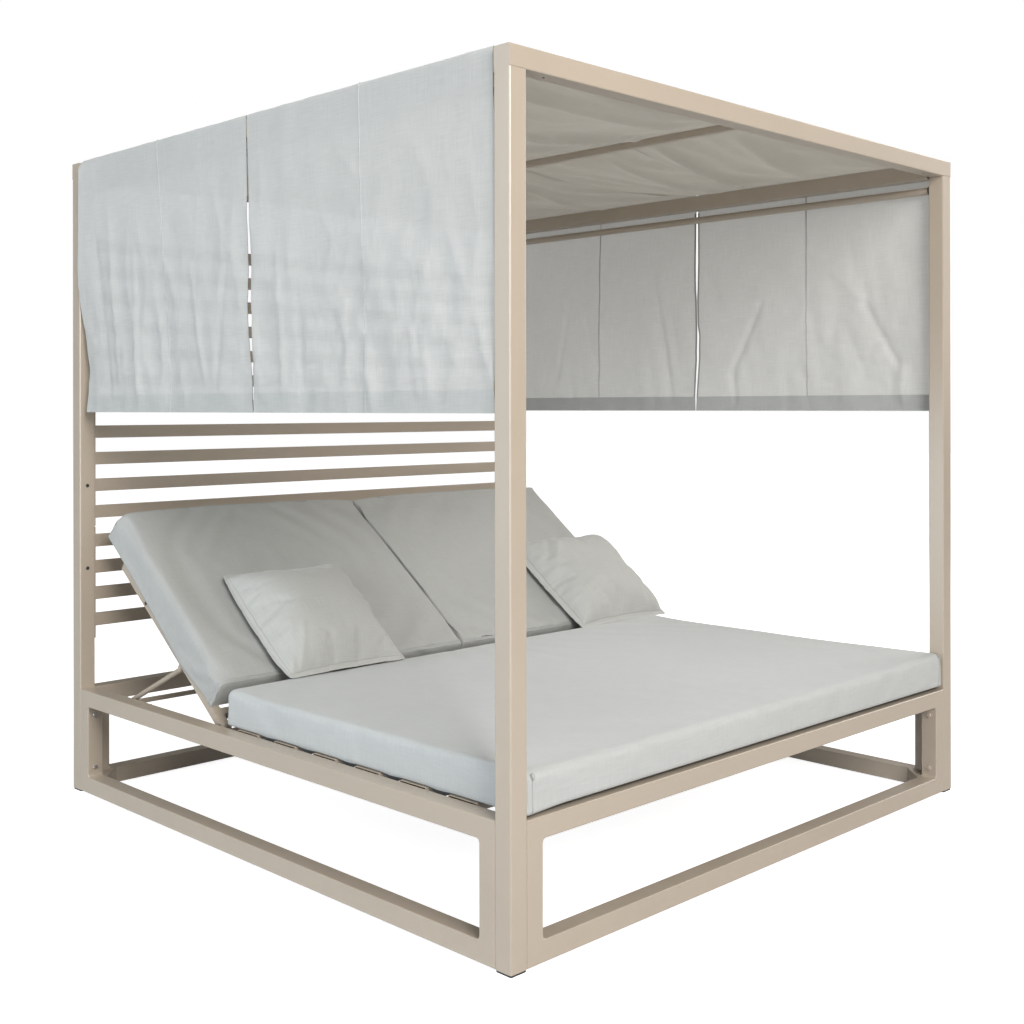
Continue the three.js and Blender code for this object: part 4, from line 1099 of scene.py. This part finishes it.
def sewn_pillow(name, side_name, seed, width):
    """Two flat sheets joined at a thin flange and blown up by pressure, then fitted to their size.

    Inside the topstitched flange each sheet rises as ((1 - x^p)(1 - y^p))^q. Puckers run square to
    each edge and die out inwards as exp(-d / reach), and the folds are added last. A corner's pull
    moves every point by its share (1 + x)(1 + y) / 4, with the signs of that corner.
    """
    power, whole = FULLNESS[side_name]
    lattice, faces, spans = lattice_shell((PILLOW_CELLS, PILLOW_CELLS, 2))
    flat = (lattice[:, :2] / PILLOW_CELLS - 0.5) * PILLOW_SIZE
    share = flat / (PILLOW_SIZE / 2)
    inside = unit(np.abs(flat) / (PILLOW_SIZE / 2 - PILLOW_FLANGE))
    body = ((1 - inside[:, 0] ** power) * (1 - inside[:, 1] ** power)) ** whole
    side = lattice[:, 2] - 1
    wobble = 1 + 0.07 * soft_noise(share, 0.8, seed)
    points = np.column_stack([flat, side * (0.0012 + PILLOW_THICK / 2 * body * wobble)])
    draw_x = np.where(share[:, 0] < 0, EDGE_SHARES["left"], EDGE_SHARES["right"])
    draw_y = np.where(share[:, 1] < 0, EDGE_SHARES["low"], EDGE_SHARES["high"])
    points[:, 0] *= width / PILLOW_SIZE * (1 - draw_x * (1 - share[:, 1] ** 2))
    points[:, 1] *= 1 - draw_y * (1 - share[:, 0] ** 2)
    points[:, :2] *= 1 - CORNER_ROUND_SHARE * (share[:, :1] * share[:, 1:2]) ** 10
    points[side == 0, :2] *= 1 + 0.003 / (PILLOW_SIZE / 2)
    pattern = np.stack([flat[faces, 0], flat[faces, 1]], 2)
    pillow = make_mesh(name, points, faces, pattern, pillow_cloth)
    held = np.where(body <= 0, 0.6, 0.012)
    simulate_cover(pillow, held, 0.030, 1.2, 26, 0.018, 0.15)
    shape = mesh_points(pillow)
    shape[:, 2] -= shape[side == 0, 2].mean()
    low, high = shape.min(0), shape.max(0)
    print(name, "grew to", np.round(high - low, 3))
    across_x = soft_noise(share * (1.0, 0.12), 4.6, seed + 20) * np.exp((inside[:, 1] - 1) / PUCKER_REACH)
    across_y = soft_noise(share * (0.12, 1.0), 4.6, seed + 40) * np.exp((inside[:, 0] - 1) / PUCKER_REACH)
    pucker = 0.0034 * (across_x + across_y) * np.clip(body * 5, 0.25, 1)
    for x0, y0, x1, y1, width, height in PILLOW_FOLDS[side_name]:
        pucker += height * ridge(shape[:, 0], shape[:, 1], x0, y0, x1, y1, width) * unit(body * 4)
    front = np.maximum(shape[:, 2], 0) * (PILLOW_THICK - PILLOW_BACK) / high[2]
    back = np.minimum(shape[:, 2], 0) / -low[2]
    back = -PILLOW_BACK * np.tanh(2.6 * -back) / np.tanh(2.6)
    wave = 0.0022 * (side != 2) * soft_noise(share, 1.3, seed + 60) * np.exp(-body * 6)
    shape[:, 2] = front + back + np.where(side > 0, pucker, 0) + wave
    slip = np.exp(-((shape[:, 1] + PILLOW_SIZE / 2) / LOW_EDGE_REACH)) * (0.7 + 0.3 * share[:, 0] ** 2)
    shape[:, 1] -= LOW_EDGE_SLIP[side_name][0] * slip
    shape[:, 2] += LOW_EDGE_SLIP[side_name][1] * slip
    for (x_sign, y_sign), pull in zip(((-1, -1), (1, -1), (-1, 1), (1, 1)), CORNER_PULLS[side_name]):
        shape[:, :2] += (1 + x_sign * share[:, :1]) * (1 + y_sign * share[:, 1:2]) / 4 * np.array(pull)
    return pillow, shape


pillows = {}
for side, seed in (("left", 3), ("right", 8)):
    pillow, shape = sewn_pillow(f"scatter_pillow_{side}_cover", side, seed, PILLOW_WIDTHS[side])
    shape += (PILLOW_PLACES[side], PILLOW_START + PILLOW_SIZE / 2, PILLOW_REST + PILLOW_BACK)
    move_points(pillow, on_backrest(shape))
    pillows[side] = pillow
print("pillows", [len(p.data.polygons) for p in pillows.values()], "quads each")

# %% [markdown]
# ## The canopy
#
# The canopy is two lengths of thin cloth, side by side. Each one starts at a hem on the left, hangs
# straight up to the side beam, runs over the roof, sags a little between the bars, and hangs down
# on the right. It is one continuous sheet, so one row of points follows that path, and the sheet's
# width is spread along the bed. Where it hangs, it ripples and keeps its creases from being folded.

# %% The cloth's path over the bars
beam_low, beam_high = (np.array(corner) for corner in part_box("side_beam_right"))
bar_low, bar_high = (np.array(corner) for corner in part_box("roof_bar"))
HEM_BOTTOM = 1.2095
CLOTH_OFF = 0.0014
TUBE_ROUND = 0.004
CLOTH_PITCH = 0.0105
CLOTH_WIDTH = 0.937
beam_out = beam_high[0]
beam_top = beam_high[2]
bend_x = beam_out - TUBE_ROUND
bend_z = beam_top - TUBE_ROUND
bend_radius = TUBE_ROUND + CLOTH_OFF
print("beam", beam_low, beam_high, "bar", bar_low, bar_high)


def cloth_path():
    """Rows of (x, z, outward x, outward z) from the left hem over the roof to the right hem."""
    up = np.linspace(HEM_BOTTOM, bend_z, round((bend_z - HEM_BOTTOM) / CLOTH_PITCH) + 1)
    wall = np.stack([np.full_like(up, bend_x + bend_radius), up, np.ones_like(up), np.zeros_like(up)], 1)
    angle = np.radians([18, 36, 54, 72])
    cosine, sine = np.cos(angle), np.sin(angle)
    turn = np.stack([bend_x + bend_radius * cosine, bend_z + bend_radius * sine, cosine, sine], 1)
    over = np.linspace(bend_x, -bend_x, round(2 * bend_x / CLOTH_PITCH) + 1)
    top = np.full_like(over, bend_z + bend_radius)
    roof = np.stack([over, top, np.zeros_like(over), np.ones_like(over)], 1)
    right = np.concatenate([wall, turn])
    left = right * (-1, 1, -1, 1)
    return np.concatenate([left, roof[::-1], right[::-1]])


path = cloth_path()
path_steps = np.linalg.norm(np.diff(path[:, :2], axis=0), axis=1)
path_run = np.concatenate([[0], np.cumsum(path_steps)])
print("cloth path", len(path), "rows,", round(float(path_run[-1]), 3), "m long")

# %% [markdown]
# The lines of the cloth were read off the photograph: where each edge and each seam stands at a few
# heights. On the roof a line runs straight from its place on the left beam to that on the right.

# %% Edges, seams and creases
FRONT_LINES = {
    "start": (
        ((1.21, -0.947), (1.74, -0.9475), (1.84, -0.944), (1.92, -0.939), (2.0, -0.939)),
        ((1.21, -0.944), (1.75, -0.946), (2.0, -0.944)),
    ),
    "seam": (
        ((1.21, -0.494), (1.49, -0.4875), (1.71, -0.480), (1.88, -0.472), (2.0, -0.468)),
        ((1.21, -0.472), (1.61, -0.469), (2.0, -0.470)),
    ),
    "end": (
        ((1.21, -0.023), (1.29, -0.021), (1.51, -0.013), (1.62, -0.008), (1.81, 0.006), (2.0, 0.016)),
        (
            (1.21, 0.007), (1.256, 0.006), (1.40, -0.003), (1.49, -0.006), (1.53, 0.001),
            (1.62, 0.003), (1.66, 0.001), (1.76, -0.003), (2.0, -0.004),
        ),
    ),
}
REAR_LINES = {
    "start": (
        (
            (1.21, -0.018), (1.29, -0.013), (1.40, -0.003), (1.47, 0.002), (1.51, 0.004),
            (1.62, 0.007), (1.72, 0.011), (1.81, 0.014), (2.0, 0.020),
        ),
        (
            (1.21, 0.011), (1.256, 0.013), (1.40, 0.006), (1.49, 0.003), (1.53, 0.003),
            (1.62, 0.005), (1.66, 0.008), (1.76, 0.008), (2.0, 0.003),
        ),
    ),
    "seam": (
        ((1.21, 0.412), (1.41, 0.429), (1.68, 0.450), (1.85, 0.470), (2.0, 0.490)),
        ((1.21, 0.491), (1.67, 0.487), (1.94, 0.478), (2.0, 0.476)),
    ),
    "end": (
        ((1.21, 0.916), (1.24, 0.915), (1.43, 0.921), (1.53, 0.938), (1.66, 0.946), (2.0, 0.946)),
        ((1.21, 0.944), (2.0, 0.946)),
    ),
}
ROOF_OVERLAP = 0.009
# Where on the roof the two lengths don't overlap, and how far that reaches
SLIT_PLACE = 0.315
SLIT_REACH = 0.05
CREASE_SCALE = 2.2
HEM_STIFF_SHARE = 0.62
HEM_REACH = 0.075
EDGE_CURL = 0.016
FOLD_RISE = 0.010
FOLD_START = 1.90
ROOF_SAG = 0.046
# Each crease: side, then place along the bed and height at both ends, half width, how far it stands out
CREASES = (
    (-1, -0.30, 1.93, -0.46, 1.79, 0.010, 0.004),
    (-1, -0.33, 1.60, -0.45, 1.67, 0.009, 0.003),
    (-1, 0.78, 1.86, 0.70, 1.30, 0.014, 0.006),
    (-1, 0.86, 1.78, 0.76, 1.24, 0.012, -0.006),
    (-1, 0.62, 1.70, 0.58, 1.26, 0.013, 0.005),
    (-1, 0.30, 1.62, 0.22, 1.30, 0.010, 0.004),
    (-1, 0.12, 1.60, 0.16, 1.28, 0.012, -0.004),
    (-1, -0.12, 1.66, -0.16, 1.26, 0.012, 0.004),
    (-1, -0.22, 1.50, -0.24, 1.24, 0.010, -0.003),
    (-1, -0.66, 1.42, -0.70, 1.24, 0.012, 0.003),
    (1, -0.285, 1.604, -0.152, 1.355, 0.010, 0.006),
    (1, -0.152, 1.355, -0.170, 1.230, 0.012, 0.005),
    (1, -0.560, 1.700, -0.690, 1.580, 0.013, -0.004),
    (1, -0.690, 1.580, -0.824, 1.351, 0.010, 0.006),
    (1, -0.830, 1.360, -0.840, 1.230, 0.014, -0.004),
    (1, 0.228, 1.823, 0.161, 1.467, 0.011, 0.006),
    (1, 0.161, 1.467, 0.130, 1.270, 0.011, 0.005),
    (1, 0.66, 1.62, 0.72, 1.34, 0.012, 0.005),
    (1, -0.03, 1.74, -0.10, 1.62, 0.010, 0.005),
    (1, 0.05, 1.80, 0.09, 1.62, 0.011, 0.004),
    (1, -0.62, 1.86, -0.66, 1.66, 0.016, 0.005),
)
# Each roof fold: x and y at both ends, half width, how far it hangs below the sag
ROOF_FOLDS = (
    (-0.47, -0.515, -0.12, -0.610, 0.022, 0.012),
    (-0.09, -0.577, 0.66, -0.462, 0.024, 0.014),
    (-0.80, -0.760, -0.15, -0.820, 0.034, 0.010),
    (0.10, -0.800, 0.82, -0.640, 0.030, 0.010),
    (0.10, -0.330, 0.80, -0.240, 0.030, 0.009),
    (-0.85, -0.300, -0.10, -0.350, 0.035, 0.010),
    (-0.70, 0.250, -0.10, 0.180, 0.035, 0.010),
    (0.12, 0.160, 0.80, 0.260, 0.030, 0.009),
    (-0.80, 0.640, -0.12, 0.600, 0.040, 0.012),
    (0.10, 0.560, 0.84, 0.680, 0.034, 0.011),
)


def line_places(line, x, z):
    """Y of a line of the cloth at points (x, z): by height on each side, straight over the roof."""
    left, right = (np.interp(z, *zip(*table)) for table in line)
    share = unit((x + beam_out) / (2 * beam_out))
    return left * (1 - share) + right * share


def creases_at(side, y, z):
    """How far the curtain of one side stands out at (y, z): creases, crumple and slow ripples."""
    out = np.zeros_like(y)
    for where, y0, z0, y1, z1, width, height in CREASES:
        if where == side:
            out += CREASE_SCALE * height * ridge(y, z, y0, z0, y1, z1, width)
    spot = np.stack([y.ravel(), 0.7 * z.ravel()], 1)
    sharp = -np.abs(soft_noise(spot * (1.5, 0.8), 3.4, 40 + side)).reshape(y.shape)
    fine = -np.abs(soft_noise(spot, 8.5, 50 + side)).reshape(y.shape)
    crisp = -np.abs(soft_noise(spot, 15.0, 55 + side)).reshape(y.shape)
    slow = soft_noise(spot * (1.0, 0.4), 2.4, 60 + side).reshape(y.shape)
    worn = 0.6 + 0.4 * soft_noise(spot, 1.6, 30 + side).reshape(y.shape)
    strength = 1.35 if side < 0 else 0.85
    rough = 0.0070 * sharp + 0.0050 * worn * fine + 0.0026 * worn * crisp + 0.0028 * slow + 0.004
    out = out + strength * rough
    return out * (1 - HEM_STIFF_SHARE * np.exp(-(((z - HEM_BOTTOM) / HEM_REACH) ** 2))) + 0.004


def roof_at(x, y):
    """How far the roof hangs below the bars at (x, y).

    Between a beam and the bar the sag is a half sine, deeper towards the middle of each length of
    cloth, with slow folds that run from bar to bar and the folds read off the photograph.
    """
    inner = beam_low[0]
    edge = bar_high[0]
    u = unit((np.abs(x) - edge) / (inner - edge))
    bay = np.sin(math.pi * u) ** 0.85
    across = unit(np.abs(y) / CLOTH_WIDTH)
    depth = 0.62 + 0.38 * np.sin(math.pi * unit(0.08 + 0.84 * across))
    spot = np.stack([0.30 * x.ravel(), y.ravel()], 1)
    slow = soft_noise(spot, 3.0, 71).reshape(x.shape)
    sharp = -np.abs(soft_noise(spot, 5.0, 72)).reshape(x.shape)
    fold = np.zeros_like(x)
    for x0, y0, x1, y1, width, height in ROOF_FOLDS:
        fold += height * ridge(x, y, x0, y0, x1, y1, width)
    rest = unit(u * 18) * unit((1 - u) * 18)
    return bay * ROOF_SAG * depth + rest * bay**0.5 * (0.008 * slow + 0.008 * sharp + 1.8 * fold)


def cloth_grid(lines, rows, shares, lift=0.0, overlap=0.0):
    """Points of the cloth at given path rows and shares of its width, lifted off by an array or number.

    A share of 0, 0.5 and 1 falls on the start line, the seam and the end line, and a curve of the
    second degree goes through the three. The rear edge of the left curtain curls outwards, and the
    stiff fold over a side beam stands a little off the beam's outer corner.
    """
    x, z, out_x, out_z = (path[rows, k][:, None] + np.zeros(len(shares)) for k in range(4))
    y0, y1, y2 = (line_places(lines[label], x, z) for label in ("start", "seam", "end"))
    b = shares[None, :]
    curls = lines is REAR_LINES
    y = y0 * (1 - b) * (1 - 2 * b) + y1 * 4 * b * (1 - b) + y2 * b * (2 * b - 1)
    on_roof = (np.abs(x) < beam_low[0]).astype(float)
    at_slit = np.exp(-(((x - SLIT_PLACE) / SLIT_REACH) ** 4))
    y = y + overlap * on_roof * (1 - at_slit) * (b if overlap > 0 else 1 - b) ** 6
    side = np.where(x < 0, -1, 1)
    hang = unit((1.90 - z) / (1.90 - HEM_BOTTOM)) * (out_z == 0)
    stand = np.where(side < 0, creases_at(-1, y, z), creases_at(1, y, z))
    crumple = soft_noise(np.stack([y.ravel(), x.ravel()], 1), 6.0, 90).reshape(y.shape)
    off = hang**0.7 * stand + 0.0012 * unit(1 - hang * 4) * unit(crumple)
    curl = EDGE_CURL * curls * unit(b) ** 10 * unit((z - 1.47) / 0.14) * unit((2.0 - z) / 0.02)
    off = off + lift + curl * (side < 0) * (out_z == 0)
    drop = roof_at(x, y) * on_roof
    on_wall = unit((z - FOLD_START) / (bend_z - FOLD_START)) ** 2
    on_beam = unit((np.abs(x) - beam_low[0]) / (bend_x - beam_low[0]))
    stiff = np.where(out_z == 0, on_wall, on_beam)
    return np.stack([x + out_x * off, y, z + out_z * off - drop + FOLD_RISE * stiff], 2)


def cloth_piece(name, lines, rows, shares, material, lift=0.0, overlap=0.0):
    """A mesh from a grid of cloth points, with its flat pattern in metres."""
    grid = cloth_grid(lines, rows, shares, lift, overlap)
    count_a, count_b = grid.shape[:2]
    i, j = grid_pairs(count_a - 1, count_b - 1)
    faces = grid_quads(i, j, i + 1, j + 1, count_b)
    run, across = path_run[rows][:, None], shares[None, :] * CLOTH_WIDTH
    flat = np.stack(np.broadcast_arrays(run, across), 2).reshape(-1, 2)
    return make_mesh(name, grid.reshape(-1, 3), faces, flat[faces], material)


# %% Canopy sheets, hems and seams
canopy_cloth = woven_fabric("canopy_cloth", CANOPY_COLOUR, *CANOPY_WEAVE, alpha=(0.95, 0.985), glow=0.32)
# The hems are the canopy's cloth folded and made darker: painted shade, as the layers let less light through.
hem_shaded_cloth = woven_fabric("canopy_hem_shaded", tinted(CANOPY_COLOUR, 0.66, 0.67, 0.68), *CANOPY_WEAVE)
seam_cloth = woven_fabric("canopy_seam", tinted(CANOPY_COLOUR, 0.74), 0.0013, 0.3, 0.0002)
edge_cloth = woven_fabric("canopy_edge", tinted(CANOPY_COLOUR, 0.50), 0.0013, 0.3, 0.0002)
HEM_HEIGHT = 0.057
SEAM_HALF = 0.0026
EDGE_HEM = 0.007
all_rows = np.arange(len(path))
width_steps = round(CLOTH_WIDTH / CLOTH_PITCH)
canopy = {}
canopy_trims = {}
for name, lines, overlap in (("front", FRONT_LINES, ROOF_OVERLAP), ("rear", REAR_LINES, -ROOF_OVERLAP)):
    shares = np.linspace(0, 1, width_steps + 1)
    over_roof = (np.abs(path[:, 0]) < beam_low[0])[:, None]
    above = 0.0 if name == "front" else 0.003 * unit(1 - shares / 0.05)[None, :] * over_roof
    sheet = cloth_piece(f"canopy_{name}_sheet", lines, all_rows, shares, canopy_cloth, above, overlap)
    trims = []
    for side in ("left", "right"):
        low_rows = all_rows[(path[:, 1] <= HEM_BOTTOM + HEM_HEIGHT) & ((path[:, 0] < 0) == (side == "left"))]
        trims.append(cloth_piece(f"canopy_{name}_hem_{side}", lines, low_rows, shares, hem_shaded_cloth, -0.0022))
    seam_shares = 0.5 + np.array([-1.0, 0.0, 1.0]) * SEAM_HALF / CLOTH_WIDTH
    seam_lift = np.array([[0.0002, 0.0014, 0.0002]])
    for ending, lift in (("", seam_lift), ("_inside", -seam_lift)):
        seam_name = f"canopy_{name}_seam{ending}"
        trims.append(cloth_piece(seam_name, lines, all_rows, seam_shares, seam_cloth, lift))
    for edge, at in (("start", np.array([0.0, 1.0])), ("end", np.array([-1.0, 0.0]))):
        edge_shares = (0.0 if edge == "start" else 1.0) + at * EDGE_HEM / CLOTH_WIDTH
        drop_rows = all_rows[path[:, 1] <= beam_low[2]]
        for side in ("left", "right"):
            side_rows = drop_rows[(path[drop_rows, 0] < 0) == (side == "left")]
            edge_name = f"canopy_{name}_edge_{edge}_{side}"
            trims.append(cloth_piece(edge_name, lines, side_rows, edge_shares, edge_cloth, -0.0012))
    canopy[name] = sheet
    canopy_trims[name] = trims
trim_count = sum(map(len, canopy_trims.values()))
print("canopy", [len(s.data.polygons) for s in canopy.values()], "quads,", trim_count, "trims")

# %% [markdown]
# ## Which body each piece belongs to
#
# The canopy and the mattress stay with the bed. A back cushion slides on its backrest as it turns,
# and its pillow slides on the cushion, so each one rides on a body of its own.

# %% Ride and replace
for name, sheet in canopy.items():
    trims = canopy_trims[name]
    for piece in [sheet, *trims]:
        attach(piece, "bed_frame")
    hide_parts(f"canopy_{name}")
for piece in [mattress, *corner_seams]:
    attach(piece, "bed_frame")
smooth_finish(mattress)
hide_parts("mattress")
for side in ("left", "right"):
    for piece in [cushions[side], *cushion_welts[side]]:
        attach(piece, f"cushion_{side}")
    smooth_finish(cushions[side])
    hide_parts(f"back_cushion_{side}")
    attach(pillows[side], f"pillow_{side}")
    smooth_finish(pillows[side])
    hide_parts(f"scatter_pillow_{side}")
